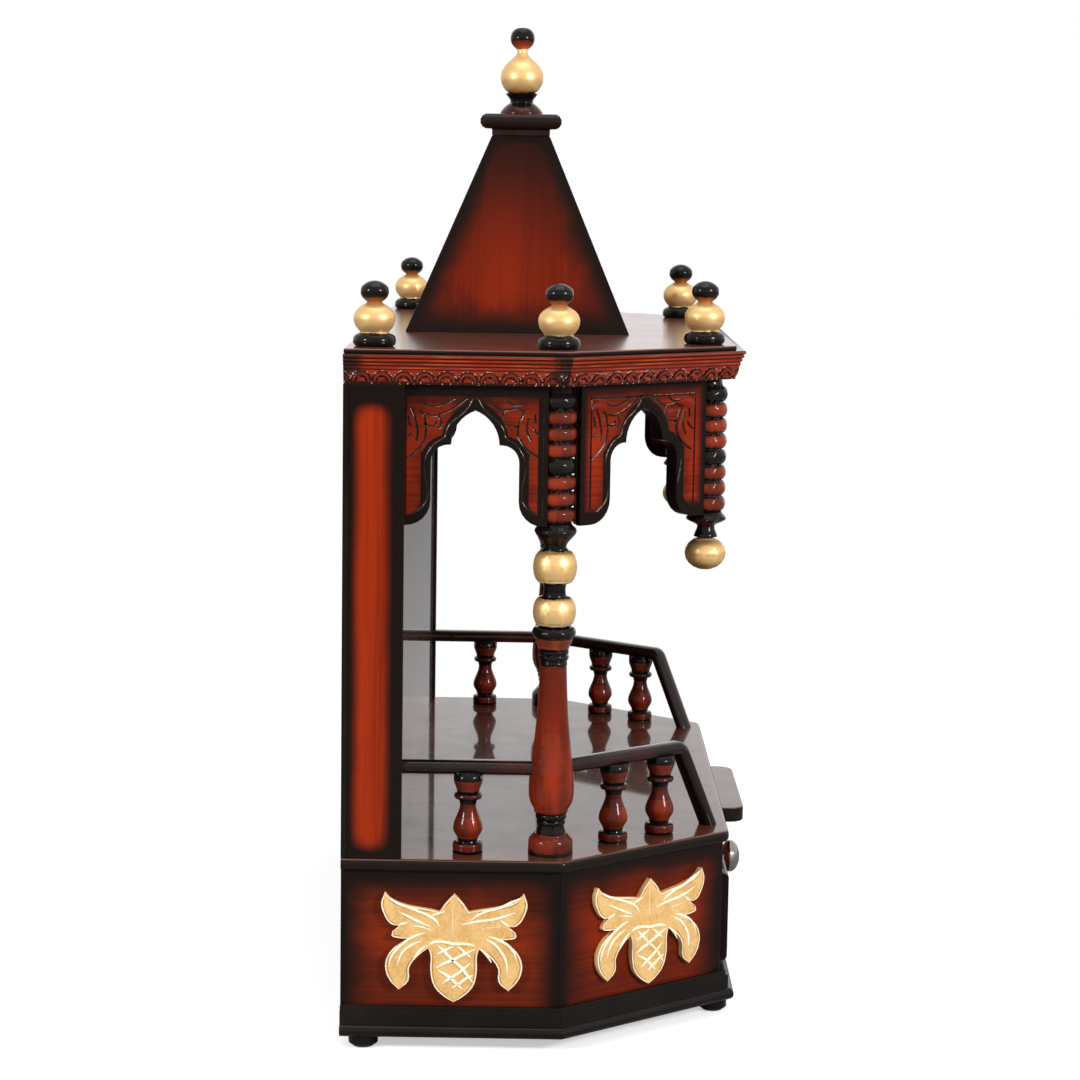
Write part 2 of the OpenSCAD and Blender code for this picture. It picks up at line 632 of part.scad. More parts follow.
rail_len = norm(front_corner(-pillar_inset) - side_corner(-pillar_inset));
rail_end = rail_len - 20;
rail_start = pillar_r + column_gap;
rail_slope = 64;
rail_bend_r = rail_t / 2 + 1;
rail_round = (rail_w - rail_t) / 2;
module rail_bar(len) {
    rotate([90, 0, 90]) linear_extrude(len) {
        square([2 * rail_round, rail_t], center = true);
        for (s = [-1, 1]) translate([s * rail_round, 0]) circle(rail_t / 2);
    }
}
// The diagonal bar and its slanted end in one sweep of the rounded section, whose
// points are [across, up from the centre line]; the last ring lies on the deck
rail_outline = concat(arc(rail_round, 0, rail_t / 2, -90, 90, 7), arc(-rail_round, 0, rail_t / 2, 90, 270, 7));
function rail_ring(x, z, turn) = [for (p = rail_outline)
    [x + p[1] * sin(turn), p[0], z + p[1] * cos(turn)]];
function rail_elbow(turn) = rail_ring(rail_end + rail_bend_r * sin(turn), rail_bend_r * (cos(turn) - 1), turn);
rail_rings = concat([rail_ring(rail_start, 0, 0)],
    [for (i = [0:5]) rail_elbow(rail_slope * i / 5)],
    [[for (q = rail_elbow(rail_slope)) [q[0] + (q[2] + rail_z) / tan(rail_slope), q[1], -rail_z]]]);
module swept(rings) {
    n = len(rings[0]);
    m = len(rings);
    polyhedron([for (ring = rings) each ring], concat(
        [for (i = [0:m - 2], j = [0:n - 1]) let (k = (j + 1) % n)
            [i * n + j, (i + 1) * n + j, (i + 1) * n + k, i * n + k]],
        [[for (j = [0:n - 1]) j], [for (j = [n - 1:-1:0]) (m - 1) * n + j]]));
}
module rail() color([0.14, 0.06, 0.05]) {
    on_side(-pillar_inset) translate([lining_y, 0, z_deck + rail_z])
        rail_bar(-side_corner(-pillar_inset)[1] - lining_y - rail_start);
    on_diagonal(-pillar_inset) translate([0, 0, z_deck + rail_z]) swept(rail_rings);
}

baluster_h = rail_z - rail_t / 2;
module baluster() turned(stretched(concat(
    [[1, 0]], bead(0, 0.135, 0.91, 1, 4), ease(0.135, 0.152, 0.66, 0.62, 1),
    ease(0.152, 0.304, 0.66, 0.98, 5), ease(0.304, 0.612, 0.98, 0.53, 7),
    ease(0.612, 0.679, 0.53, 0.62, 2), bead(0.679, 0.764, 0.71, 0.94, 4),
    ease(0.764, 0.932, 0.73, 0.97, 4), [[0.97, 1.025]]), baluster_r, baluster_h));
// Places of the balusters: from the back face, and along the diagonal from the pillar
baluster_back = 92.5;
baluster_first = 60;
baluster_second = 106;
module baluster_set() color([0.45, 0.10, 0.06]) difference() {
    union() {
        on_side(-pillar_inset) translate([baluster_back, 0, z_deck]) baluster();
        for (s = [baluster_first, baluster_second]) on_diagonal(-pillar_inset) translate([s, 0, z_deck]) baluster();
    }
    on_side(-pillar_inset) translate([lining_y, 0, z_deck + rail_z]) rail_bar(side_d - lining_y);
    on_diagonal(-pillar_inset) translate([0, 0, z_deck + rail_z]) rail_bar(rail_end);
}

// ---- Carved emblems ----

// Right half of the outline for a width of 107.2, origin at the knot of the leaves: top leaf,
// wing, small leaf, drooping leaf and fruit, each a smooth curve between two sharp points
EMBLEM = [[[0, 35.3], [6.2, 28.4], [10.6, 21.9]],
    [[10.6, 21.9], [21.8, 23.9], [33.4, 25.9], [45, 29.8], [51.2, 35.9]],
    [[51.2, 35.9], [53.6, 27.9], [51.7, 19.9], [45.9, 11.9], [40.1, 11]],
    [[40.1, 11], [45.9, 3.9], [43, 2], [31.4, 1]],
    [[31.4, 1], [43.9, -6], [49.7, -14.9], [50.1, -22.9], [46.8, -30.9], [40.5, -37.8]],
    [[40.5, -37.8], [33.4, -30.9], [33, -20.9], [25.7, -11], [18.9, -6]],
    [[18.9, -6], [17, -11], [17, -22.9], [14.1, -34.8], [6.4, -42.8], [0, -46.8]]];
function curve(p, n = 3) = [for (i = [0:len(p) - 2], k = [0:n - 1]) let (t = k / n,
    a = p[max(i - 1, 0)], b = p[i], c = p[i + 1], d = p[min(i + 2, len(p) - 1)])
    (2 * b + (c - a) * t + (2 * a - 5 * b + 4 * c - d) * t * t + (3 * b - a - 3 * c + d) * t * t * t) / 2];
emblem_half = concat([for (part = EMBLEM) each curve(part)], [[0, -46.8]]);
module emblem() rotate([90, 0, 0]) mirror([0, 0, 1]) linear_extrude(emblem_t)
    polygon((emblem_w / 107.2) * concat(emblem_half,
        [for (i = [len(emblem_half) - 2:-1:1]) flip(emblem_half[i])]));
// Distance of the side emblem's middle from the back face, and of the diagonal one's past the
// middle of its board
emblem_back = 84;
emblem_past = 2;
module carved_emblems() color([0.88, 0.72, 0.45]) both() {
    on_side(base_o) translate([emblem_back, 0, emblem_z]) emblem();
    on_diagonal(base_o) translate([diag_len / 2 + emblem_past, 0, emblem_z]) emblem();
}

place() feet();
place() base_floor();
place() base_back();
place() mirror([1, 0, 0]) base_side();  // base_side_left
place() base_side();  // base_side_right
place() mirror([1, 0, 0]) base_diagonal();  // base_diagonal_left
place() base_diagonal();  // base_diagonal_right
place() base_front();
place() plinth_sides();
place() plinth_diagonals();
place() plinth_front();
place() deck();
place() slide_runners();
place() drawer_front();
place() drawer_sides();
place() drawer_back();
place() drawer_bottom();
place() drawer_knob();
place() lamp_tray();
place() back_panel();
place() back_board();
place() mirror([1, 0, 0]) side_wall();  // side_wall_left
place() side_wall();  // side_wall_right
place() mirror([1, 0, 0]) pillar_at();  // pillar_left
place() pillar_at();  // pillar_right
place() pendants();
place() mirror([1, 0, 0]) arch_side();  // arch_side_left
place() arch_side();  // arch_side_right
place() mirror([1, 0, 0]) arch_diagonal();  // arch_diagonal_left
place() arch_diagonal();  // arch_diagonal_right
place() arch_front();
place() cornice_sides();
place() cornice_diagonals();
place() cornice_front();
place() roof_board();
place() spire_sides();
place() spire_ends();
place() spire_cap();
place() spire_finial();
place() roof_finials();
place() mirror([1, 0, 0]) rail();  // rail_left
place() rail();  // rail_right
place() mirror([1, 0, 0]) baluster_set();  // balusters_left
place() baluster_set();  // balusters_right
place() carved_emblems();
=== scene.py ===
"""Home mandir: lacquer, paint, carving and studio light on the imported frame."""
import json
from math import cos, pi, radians, sin

import bpy
from mathutils import Matrix, Vector


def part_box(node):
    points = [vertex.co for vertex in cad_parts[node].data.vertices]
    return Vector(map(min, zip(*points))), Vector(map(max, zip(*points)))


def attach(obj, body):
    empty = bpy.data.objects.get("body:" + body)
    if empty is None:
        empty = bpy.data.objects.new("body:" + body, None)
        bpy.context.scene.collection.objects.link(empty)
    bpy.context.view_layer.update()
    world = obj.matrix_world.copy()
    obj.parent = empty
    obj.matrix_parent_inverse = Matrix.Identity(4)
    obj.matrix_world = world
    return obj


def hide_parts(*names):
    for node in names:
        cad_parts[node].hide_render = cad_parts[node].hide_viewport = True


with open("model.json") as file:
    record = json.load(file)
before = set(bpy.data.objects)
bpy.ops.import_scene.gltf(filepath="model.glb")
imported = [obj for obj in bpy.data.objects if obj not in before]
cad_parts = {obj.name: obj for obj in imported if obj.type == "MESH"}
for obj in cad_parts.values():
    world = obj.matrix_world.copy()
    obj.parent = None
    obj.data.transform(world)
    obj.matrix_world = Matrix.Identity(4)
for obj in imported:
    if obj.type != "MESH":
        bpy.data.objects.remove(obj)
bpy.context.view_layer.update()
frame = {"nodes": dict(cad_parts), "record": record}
NODES = frame["nodes"]
BODY = {n: body for body, members in frame["record"]["behaviour"]["bodies"].items() for n in members}
MM = 0.001

# Levels and faces, read from the frame
DECK_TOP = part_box("deck")[1].z
ROOF_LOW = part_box("roof_board")[0].z
ROOF_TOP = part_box("roof_board")[1].z
BACK_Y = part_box("back_board")[1].y
CAP_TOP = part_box("spire_finial")[0].z
SIDE_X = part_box("base_side_right")[1].x


# ---- Small helpers ----


def activate(obj):
    bpy.ops.object.select_all(action="DESELECT")
    obj.select_set(True)
    bpy.context.view_layer.objects.active = obj


def in_edit(obj, *steps):
    """Runs edit-mode operators over the whole mesh of obj."""
    activate(obj)
    bpy.ops.object.mode_set(mode="EDIT")
    bpy.ops.mesh.select_all(action="SELECT")
    for step in steps:
        step()
    bpy.ops.object.mode_set(mode="OBJECT")


def apply_modifiers(obj):
    activate(obj)
    for modifier in list(obj.modifiers):
        bpy.ops.object.modifier_apply(modifier=modifier.name)


def smooth(obj, degrees=35, weighted=True):
    activate(obj)
    bpy.ops.object.shade_smooth_by_angle(angle=radians(degrees))
    if weighted:
        modifier = obj.modifiers.new("flat_faces", "WEIGHTED_NORMAL")
        modifier.keep_sharp = True
        apply_modifiers(obj)


def joined(pieces, name):
    """Makes several pieces one object."""
    activate(pieces[0])
    for piece in pieces:
        piece.select_set(True)
    if len(pieces) > 1:
        bpy.ops.object.join()
    obj = bpy.context.view_layer.objects.active
    obj.name = name
    return obj


def paint(obj, *materials):
    obj.data.materials.clear()
    for material in materials:
        obj.data.materials.append(material)


def copy_of(node, name):
    """A free copy of a CAD node, its mesh merged and its flat faces made whole."""
    obj = bpy.data.objects.new(name, NODES[node].data.copy())
    bpy.context.scene.collection.objects.link(obj)
    in_edit(obj,
            lambda: bpy.ops.mesh.remove_doubles(threshold=0.00001),
            lambda: bpy.ops.mesh.dissolve_limited(angle_limit=radians(0.4)),
            lambda: bpy.ops.mesh.normals_make_consistent(inside=False))
    return obj


def bevelled(obj, width):
    modifier = obj.modifiers.new("soft_edges", "BEVEL")
    modifier.width = width
    modifier.segments = 2
    modifier.limit_method = "ANGLE"
    modifier.angle_limit = radians(30)
    modifier.use_clamp_overlap = True
    apply_modifiers(obj)


def stand_for(obj, node):
    """obj takes over from a CAD node and moves with its body."""
    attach(obj, BODY[node])
    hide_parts(node)


TURNED = 50  # degrees, up to which turned work is shaded smooth


def dressed(node, material, edge=0.8 * MM, shade=35):
    """Replaces a CAD node by the same shape with softened edges and smooth shading."""
    obj = copy_of(node, node + "_finished")
    if edge:
        bevelled(obj, edge)
    smooth(obj, shade, weighted=bool(edge))
    paint(obj, material)
    stand_for(obj, node)
    return obj


RING = 0.05 * MM  # vertices closer in height than this share a ring


def radius_at(outline, height):
    """The radius of an outline of (height, radius) at a height."""
    for (z0, r0), (z1, r1) in zip(outline, outline[1:]):
        if z0 <= height <= z1:
            return r0 + (r1 - r0) * (height - z0) / (z1 - z0)
    return outline[-1][1]


def unselect(obj):
    for part in (*obj.data.vertices, *obj.data.edges, *obj.data.polygons):
        part.select = False


def move_selected(obj, step):
    """Runs one edit-mode operator over the vertices of obj that are selected."""
    activate(obj)
    bpy.ops.object.mode_set(mode="EDIT")
    bpy.ops.mesh.select_mode(type="VERT")
    step()
    bpy.ops.object.mode_set(mode="OBJECT")


def reshaped(obj, outline, foot):
    """Scales the rings of a turned copy about its axis to an outline of (height, radius) in mm."""
    corners = [Vector(corner) for corner in obj.bound_box]
    axis = (corners[0] + corners[6]) / 2
    levels = []
    for z in sorted(vert.co.z for vert in obj.data.vertices):
        inside = outline[0][0] * MM <= z - foot <= outline[-1][0] * MM
        if inside and (not levels or z - levels[-1] > RING):
            levels.append(z)
    for level in levels:
        unselect(obj)
        reach = 0.0
        for vert in obj.data.vertices:
            if abs(vert.co.z - level) <= RING:
                vert.select = True
                reach = max(reach, (vert.co.xy - axis.xy).length)
        share = radius_at(outline, (level - foot) / MM) * MM / reach
        move_selected(obj, lambda: bpy.ops.transform.resize(
            value=(share, share, 1), center_override=(axis.x, axis.y, level)))


RAIL_SIDE = 14 * MM  # a stretch's vertices lie this near to its line through the pillar
RAIL_FACE = 1 * MM  # and those of its end this near to the end
RAIL_SINK = 5 * MM


def joined_to_pillar(obj, axis, direction, amount):
    """Runs one stretch of a rail, along direction from a pillar's axis, up to the vase."""
    unselect(obj)
    aside = Vector((-direction.y, direction.x, 0))
    near = [(vert, (vert.co - axis).dot(direction)) for vert in obj.data.vertices
            if abs((vert.co - axis).dot(aside)) < RAIL_SIDE and (vert.co - axis).dot(direction) > 0]
    end = min(reach for vert, reach in near)
    for vert, reach in near:
        vert.select = reach < end + RAIL_FACE
    move_selected(obj, lambda: bpy.ops.transform.translate(value=-amount * direction))


# The pillar's vase: heights above the deck and radii in mm
VASE = [(32, 11.4), (34.8, 13.4), (38.5, 15.5), (43.5, 16.8), (51, 16.95), (58.4, 16.5), (65.8, 15.7),
        (78.3, 14.2), (90.7, 12.8), (103, 11.7), (115.5, 10.9), (128, 10.3), (140, 9.9)]


SPIN_STEPS = 56


def turned_master(outline, radius, height):
    """A turned piece on the Z axis: its outline extruded point by point and spun."""
    bpy.ops.object.select_all(action="DESELECT")
    bpy.ops.mesh.primitive_plane_add(size=0.01, location=(0, 0, 0))
    obj = bpy.context.object
    points = [Vector((radius * r, 0, height * z)) for r, z in outline]
    moves = [b - a for a, b in zip(points, points[1:])]
    in_edit(obj, lambda: bpy.ops.mesh.merge(type="CENTER"),
            lambda: bpy.ops.transform.translate(value=points[0]),
            *[lambda move=move: bpy.ops.mesh.extrude_region_move(
                TRANSFORM_OT_translate={"value": move}) for move in moves],
            lambda: bpy.ops.mesh.select_all(action="SELECT"),
            lambda: bpy.ops.mesh.spin(steps=SPIN_STEPS, angle=2 * pi, center=(0, 0, 0), axis=(0, 0, 1)),
            lambda: bpy.ops.mesh.select_all(action="SELECT"),
            lambda: bpy.ops.mesh.remove_doubles(threshold=0.000005),
            lambda: bpy.ops.mesh.normals_make_consistent(inside=False))
    return obj


def feet_of(node):
    """The middle of the foot of each separate piece in a CAD node."""
    probe = copy_of(node, "probe")
    in_edit(probe, lambda: bpy.ops.mesh.separate(type="LOOSE"))
    spots = []
    for obj in list(bpy.context.selected_objects):
        corners = [Vector(corner) for corner in obj.bound_box]
        low, high = corners[0], corners[6]
        spots.append(Vector(((low.x + high.x) / 2, (low.y + high.y) / 2, low.z)))
    bpy.ops.object.delete()
    return spots


def finish_turned(node, outline, radius, height, material):
    """Rounder turned pieces in place of each piece of a CAD node."""
    spots = feet_of(node)
    master = turned_master(outline, radius, height)
    pieces = []
    for spot in spots:
        piece = bpy.data.objects.new(node + "_one", master.data.copy())
        bpy.context.scene.collection.objects.link(piece)
        in_edit(piece, lambda: bpy.ops.transform.translate(value=spot))
        pieces.append(piece)
    bpy.data.objects.remove(master)
    obj = joined(pieces, node + "_finished")
    smooth(obj, TURNED, weighted=False)
    paint(obj, material)
    stand_for(obj, node)


# Outlines of the finials as shares of radius and height
ONION = [
    (0, 0), (0.97, 0), (0.985, 0.015), (0.96, 0.033), (0.86, 0.066), (0.73, 0.0995), (0.62, 0.119),
    (0.53, 0.136), (0.525, 0.166), (0.59, 0.191), (0.67, 0.2156), (0.72, 0.232), (0.73, 0.240),
    (0.62, 0.252), (0.645, 0.257), (0.735, 0.275), (0.81, 0.2985), (0.895, 0.332), (0.945, 0.365),
    (0.972, 0.39), (0.98, 0.4146), (0.98, 0.44), (0.955, 0.481), (0.915, 0.507), (0.86, 0.531),
    (0.80, 0.555), (0.72, 0.580), (0.63, 0.602), (0.54, 0.622), (0.39, 0.655), (0.275, 0.688),
    (0.235, 0.721), (0.25, 0.746), (0.29, 0.757), (0.39, 0.779), (0.455, 0.797), (0.50, 0.813),
    (0.545, 0.846), (0.557, 0.87), (0.555, 0.89), (0.52, 0.929), (0.44, 0.962), (0.32, 0.987),
    (0.16, 0.998), (0, 1)]
MUSHROOM = [
    (0, 0), (0.86, 0), (0.965, 0.025), (0.995, 0.06), (0.998, 0.095), (0.985, 0.125), (0.94, 0.155),
    (0.85, 0.18), (0.72, 0.2), (0.66, 0.213), (0.75, 0.25), (0.855, 0.294), (0.90, 0.32),
    (0.935, 0.353), (0.96, 0.385), (0.97, 0.42), (0.968, 0.45), (0.95, 0.479), (0.885, 0.529),
    (0.77, 0.5735), (0.68, 0.597), (0.58, 0.6176), (0.43, 0.647), (0.34, 0.6676), (0.38, 0.685),
    (0.50, 0.7147), (0.59, 0.75), (0.645, 0.794), (0.66, 0.838), (0.64, 0.882), (0.60, 0.907),
    (0.55, 0.926), (0.41, 0.962), (0.27, 0.985), (0.13, 0.997), (0, 1)]


# ---- Shader helpers ----


def fill(tree, node, inputs, out):
    """Sets or links a node's inputs and returns one of its outputs."""
    for key, value in inputs.items():
        if isinstance(value, bpy.types.NodeSocket):
            tree.links.new(value, node.inputs[key])
        else:
            node.inputs[key].default_value = value
    return node.outputs[out]


def put(tree, kind, inputs=None, out=0, **settings):
    """Adds a shader node with its settings and inputs, and returns one output."""
    node = tree.nodes.new("ShaderNode" + kind)
    for key, value in settings.items():
        setattr(node, key, value)
    return fill(tree, node, inputs or {}, out)


def maths(tree, operation, a, b=0.0, c=0.0, clamp=False):
    return put(tree, "Math", {0: a, 1: b, 2: c}, operation=operation, use_clamp=clamp)


def ramp_between(tree, value, low, high, to_low=0.0, to_high=1.0, smoothly=True):
    kind = "SMOOTHSTEP" if smoothly else "LINEAR"
    return put(tree, "MapRange", {"Value": value, "From Min": low, "From Max": high,
                                  "To Min": to_low, "To Max": to_high}, interpolation_type=kind)


def blend(tree, factor, a, b):
    """Colour a where factor is 0 and b where it is 1."""
    return put(tree, "Mix", {0: factor, 6: a, 7: b}, out=2, data_type="RGBA")


def colour(red, green, blue):
    """A display colour, 0 to 255, as a linear RGBA value."""
    linear = [((c / 255 + 0.055) / 1.055) ** 2.4 if c > 10 else c / 255 / 12.92
              for c in (red, green, blue)]
    return (*linear, 1.0)


def group(name, inputs, outputs):
    """A node group with float or vector inputs and float outputs."""
    tree = bpy.data.node_groups.new(name, "ShaderNodeTree")
    for socket, kind in inputs:
        tree.interface.new_socket(socket, in_out="INPUT", socket_type="NodeSocket" + kind)
    for socket in outputs:
        tree.interface.new_socket(socket, in_out="OUTPUT", socket_type="NodeSocketFloat")
    return tree, tree.nodes.new("NodeGroupInput").outputs, tree.nodes.new("NodeGroupOutput").inputs


def use(tree, made, inputs, out=0):
    """Places a node group and returns one of its outputs."""
    node = tree.nodes.new("ShaderNodeGroup")
    node.node_tree = made
    return fill(tree, node, inputs, out)


# ---- Shared effects ----


def make_sprayed_edge():
    """Mask that is 1 at a board's edges and fades inwards, with a wavering reach."""
    tree, have, give = group("sprayed_edge", [
        ("Vector", "Vector"), ("U", "Float"), ("V", "Float"), ("Half Width", "Float"),
        ("Half Height", "Float"), ("Taper", "Float"), ("Reach", "Float"), ("Waver", "Float")], ["Mask"])
    half = maths(tree, "SUBTRACT", have["Half Width"], maths(tree, "MULTIPLY", have["Taper"], have["V"]))
    du = maths(tree, "SUBTRACT", half, maths(tree, "ABSOLUTE", have["U"]))
    dv = maths(tree, "SUBTRACT", have["Half Height"], maths(tree, "ABSOLUTE", have["V"]))
    near = maths(tree, "SMOOTH_MIN", du, dv, 0.02)
    cloud = put(tree, "TexNoise", {"Vector": have["Vector"], "Scale": 22.0, "Detail": 3.0})
    swing = maths(tree, "MULTIPLY_ADD", ramp_between(tree, cloud, 0.3, 0.7, -1.0, 1.0), have["Waver"], 1.0)
    reach = maths(tree, "MULTIPLY", have["Reach"], swing)
    mask = maths(tree, "SUBTRACT", 1.0, maths(tree, "DIVIDE", near, reach), clamp=True)
    mask = ramp_between(tree, mask, 0.0, 0.92)
    tree.links.new(mask, give["Mask"])
    return tree


def make_wood_figure():
    """Long fibres and broad streaks along the vector's Z."""
    tree, have, give = group("wood_figure", [("Vector", "Vector")], ["Tone", "Height"])
    broad = put(tree, "Mapping", {"Vector": have["Vector"], "Scale": (26, 26, 2.2)})
    broad = put(tree, "TexNoise", {"Vector": broad, "Scale": 1.0, "Detail": 4.0, "Distortion": 0.6})
    fine = put(tree, "Mapping", {"Vector": have["Vector"], "Scale": (420, 420, 9)})
    fine = put(tree, "TexNoise", {"Vector": fine, "Scale": 1.0, "Detail": 2.0})
    tone = maths(tree, "MULTIPLY_ADD", broad, 0.62, maths(tree, "MULTIPLY", fine, 0.38))
    tree.links.new(ramp_between(tree, tone, 0.34, 0.66), give["Tone"])
    tree.links.new(fine, give["Height"])
    return tree


def make_lacquer_skin():
    """Faint ripple and smears in a brushed clear coat."""
    tree, have, give = group("lacquer_skin", [("Vector", "Vector")], ["Roughness", "Height"])
    smear = put(tree, "TexNoise", {"Vector": have["Vector"], "Scale": 34.0, "Detail": 4.0})
    ripple = put(tree, "TexNoise", {"Vector": have["Vector"], "Scale": 260.0, "Detail": 1.5})
    tree.links.new(ramp_between(tree, smear, 0.35, 0.75, 0.30, 0.46), give["Roughness"])
    tree.links.new(ripple, give["Height"])
    return tree


SPRAYED = make_sprayed_edge()
FIGURE = make_wood_figure()
SKIN = make_lacquer_skin()


def start_material(name):
    material = bpy.data.materials.new(name)
    material.use_nodes = True
    tree = material.node_tree
    shader = tree.nodes["Principled BSDF"]
    place = put(tree, "TexCoord", out=3)
    return material, tree, shader, place


def gloss(tree, shader, place, tint, coat_ior=1.18, specular=0.03, bump=0.04, height=None,
          coat_roughness=0.035, metal=None):
    """Finishes a material as coloured lacquer under a clear coat, thinner over metal paint."""
    tree.links.new(tint, shader.inputs["Base Color"])
    rough = use(tree, SKIN, {"Vector": place})
    if metal is not None:
        rough = ramp_between(tree, metal, 0.0, 0.5, rough, 0.40, smoothly=False)
    tree.links.new(rough, shader.inputs["Roughness"])
    if height is None:
        height = use(tree, SKIN, {"Vector": place}, out=1)
    normal = put(tree, "Bump", {"Height": height, "Strength": bump, "Distance": 0.0005})
    tree.links.new(normal, shader.inputs["Normal"])
    shader.inputs["Specular IOR Level"].default_value = specular
    shader.inputs["Coat Weight"].default_value = 1.0
    shader.inputs["Coat Roughness"].default_value = coat_roughness
    shader.inputs["Coat IOR"].default_value = coat_ior
    if metal is not None:
        tree.links.new(metal, shader.inputs["Metallic"])
        tree.links.new(ramp_between(tree, metal, 0.0, 0.6, 1.0, 0.2), shader.inputs["Coat Weight"])


def split(tree, place):
    """The x, y and z outputs of a vector."""
    node = put(tree, "SeparateXYZ", {0: place}).node
    return node.outputs[0], node.outputs[1], node.outputs[2]


def board_place(tree, place, middle, along):
    """Distances from a board's middle, along it and up it; left and right boards share them."""
    x, y, z = split(tree, place)
    across = maths(tree, "SUBTRACT", maths(tree, "ABSOLUTE", x), middle[0])
    forward = maths(tree, "SUBTRACT", y, middle[1])
    u = maths(tree, "MULTIPLY_ADD", across, along[0], maths(tree, "MULTIPLY", forward, along[1]))
    return u, maths(tree, "SUBTRACT", z, middle[2])


BLACK = colour(24, 17, 14)


def red_at(tree, run, across, light, deep):
    """Red lacquer over wood whose fibres run along the first distance."""
    laid = put(tree, "CombineXYZ", {0: across, 1: 0.3, 2: run})
    tone = use(tree, FIGURE, {"Vector": laid})
    return blend(tree, tone, deep, light), use(tree, FIGURE, {"Vector": laid}, out=1)


def board_material(name, middle, along, half_w, half_h, reach, light, deep, taper=0.0,
                   upright=False, waver=0.28, coat_ior=1.15, dusk=0.0):
    """Red lacquered board, sprayed black from its edges inwards; dusk is its darkening to the top."""
    material, tree, shader, place = start_material(name)
    u, v = board_place(tree, place, middle, along)
    red, fibres = red_at(tree, *((v, u) if upright else (u, v)), light, deep)
    mask = use(tree, SPRAYED, {"Vector": place, "U": u, "V": v, "Half Width": half_w,
                               "Half Height": half_h, "Taper": taper, "Reach": reach, "Waver": waver})
    if dusk:
        mask = maths(tree, "MAXIMUM", mask, ramp_between(tree, v, -0.5 * half_h, 0.9 * half_h, 0.0, dusk))
    gloss(tree, shader, place, blend(tree, mask, red, BLACK), coat_ior=coat_ior, specular=0.015,
          height=fibres)
    return material


def black_material(name, edge, body, coat_ior=1.2, specular=0.03, cells=(14, 14, 14)):
    """Black lacquer, worn a little browner in clouds, which cells can draw out into streaks."""
    material, tree, shader, place = start_material(name)
    laid = put(tree, "Mapping", {"Vector": place, "Scale": cells})
    cloud = put(tree, "TexNoise", {"Vector": laid, "Scale": 1.0, "Detail": 5.0})
    tint = blend(tree, ramp_between(tree, cloud, 0.45, 0.75), body, edge)
    gloss(tree, shader, place, tint, coat_ior, specular)
    return material


COLLAR = 247.8  # height of the lowest bead above the deck in mm


def with_gold(tint, share=1.0):
    """The colour with its share of metal kept in the alpha."""
    return (*tint[:3], share)


# Darker gold for the painted shade where a gold ball turns in towards its necks
PAINTED_SHADE_GOLD = colour(150, 104, 52)


GOLD_HOLLOW, GOLD_CROWN = 10.5 * MM, 15.2 * MM  # radii between which the painted shade on the gold fades out


def banded_material(name, base, bands, axis=None, groove=None, blended=False, darker=None):
    """Paint in rings up a turned piece. bands lists (height in mm, colour), each up to the next;
    axis is the middle of the right-hand piece; groove is (radius of full painted shade, radius clear of it)
    in mm, for the painted shade in the creases between beads, and with an axis the gold gets painted shade
    where it turns in; blended bands run into each other; darker is (low, high, share) of a stretch that
    darkens upwards."""
    material, tree, shader, place = start_material(name)
    x, y, z = split(tree, place)
    waver = put(tree, "TexNoise", {"Vector": place, "Scale": 130.0, "Detail": 2.0})
    height = maths(tree, "SUBTRACT", z, base)
    height = maths(tree, "ADD", height, ramp_between(tree, waver, 0.3, 0.7, -0.0004, 0.0004))
    top = bands[-1][0] * MM
    ramp = tree.nodes.new("ShaderNodeValToRGB")
    ramp.color_ramp.interpolation = "LINEAR" if blended else "CONSTANT"
    tree.links.new(maths(tree, "DIVIDE", height, top, clamp=True), ramp.inputs[0])
    stops = ramp.color_ramp.elements
    stops[0].position, stops[0].color = 0.0, bands[0][1]
    stops.remove(stops[1])
    for start, tint in bands[1:-1]:
        stop = stops.new(start * MM / top)
        stop.color = tint
    fibres = put(tree, "Mapping", {"Vector": place, "Scale": (70, 70, 16)})
    fibres = put(tree, "TexNoise", {"Vector": fibres, "Scale": 1.0, "Detail": 4.0})
    shade = ramp_between(tree, fibres, 0.38, 0.64, 0.55, 0.0)
    shade = maths(tree, "MULTIPLY", shade, maths(tree, "SUBTRACT", 1.0, ramp.outputs[1]))
    if darker:
        rising = ramp_between(tree, height, darker[0] * MM, darker[1] * MM, 0.0, darker[2])
        rising = maths(tree, "MULTIPLY", rising, maths(tree, "LESS_THAN", height, darker[1] * MM))
        shade = maths(tree, "MAXIMUM", shade, rising)
    tint = blend(tree, shade, ramp.outputs[0], BLACK)
    metal = maths(tree, "MULTIPLY", ramp.outputs[1], 0.6)
    if axis is not None:
        flat = put(tree, "CombineXYZ", {0: maths(tree, "ABSOLUTE", x), 1: y})
        radius = put(tree, "VectorMath", {0: flat, 1: (axis.x, axis.y, 0)}, out=1,
                     operation="DISTANCE")
        # Painted shade: black in the creases between beads, clearing towards each bead's crest
        clear_of_crease_shade = ramp_between(tree, radius, groove[0] * MM, groove[1] * MM)
        clear_of_crease_shade = maths(tree, "MAXIMUM", clear_of_crease_shade,
                         maths(tree, "LESS_THAN", z, DECK_TOP + COLLAR * MM))
        # Painted shade on the gold, darker as its radius shrinks towards the necks
        gold_painted_shade = ramp_between(tree, radius, GOLD_HOLLOW, GOLD_CROWN, 0.75, 0.0)
        tint = blend(tree, maths(tree, "MULTIPLY", gold_painted_shade, ramp.outputs[1]), tint, PAINTED_SHADE_GOLD)
        tint = blend(tree, clear_of_crease_shade, BLACK, tint)
        metal = maths(tree, "MULTIPLY", metal, clear_of_crease_shade)
    gloss(tree, shader, place, tint, coat_ior=1.23, bump=0.02, coat_roughness=0.025, metal=metal)
    return material


def hypotenuse(tree, a, b):
    return maths(tree, "SQRT", maths(tree, "ADD", maths(tree, "MULTIPLY", a, a),
                                     maths(tree, "MULTIPLY", b, b)))


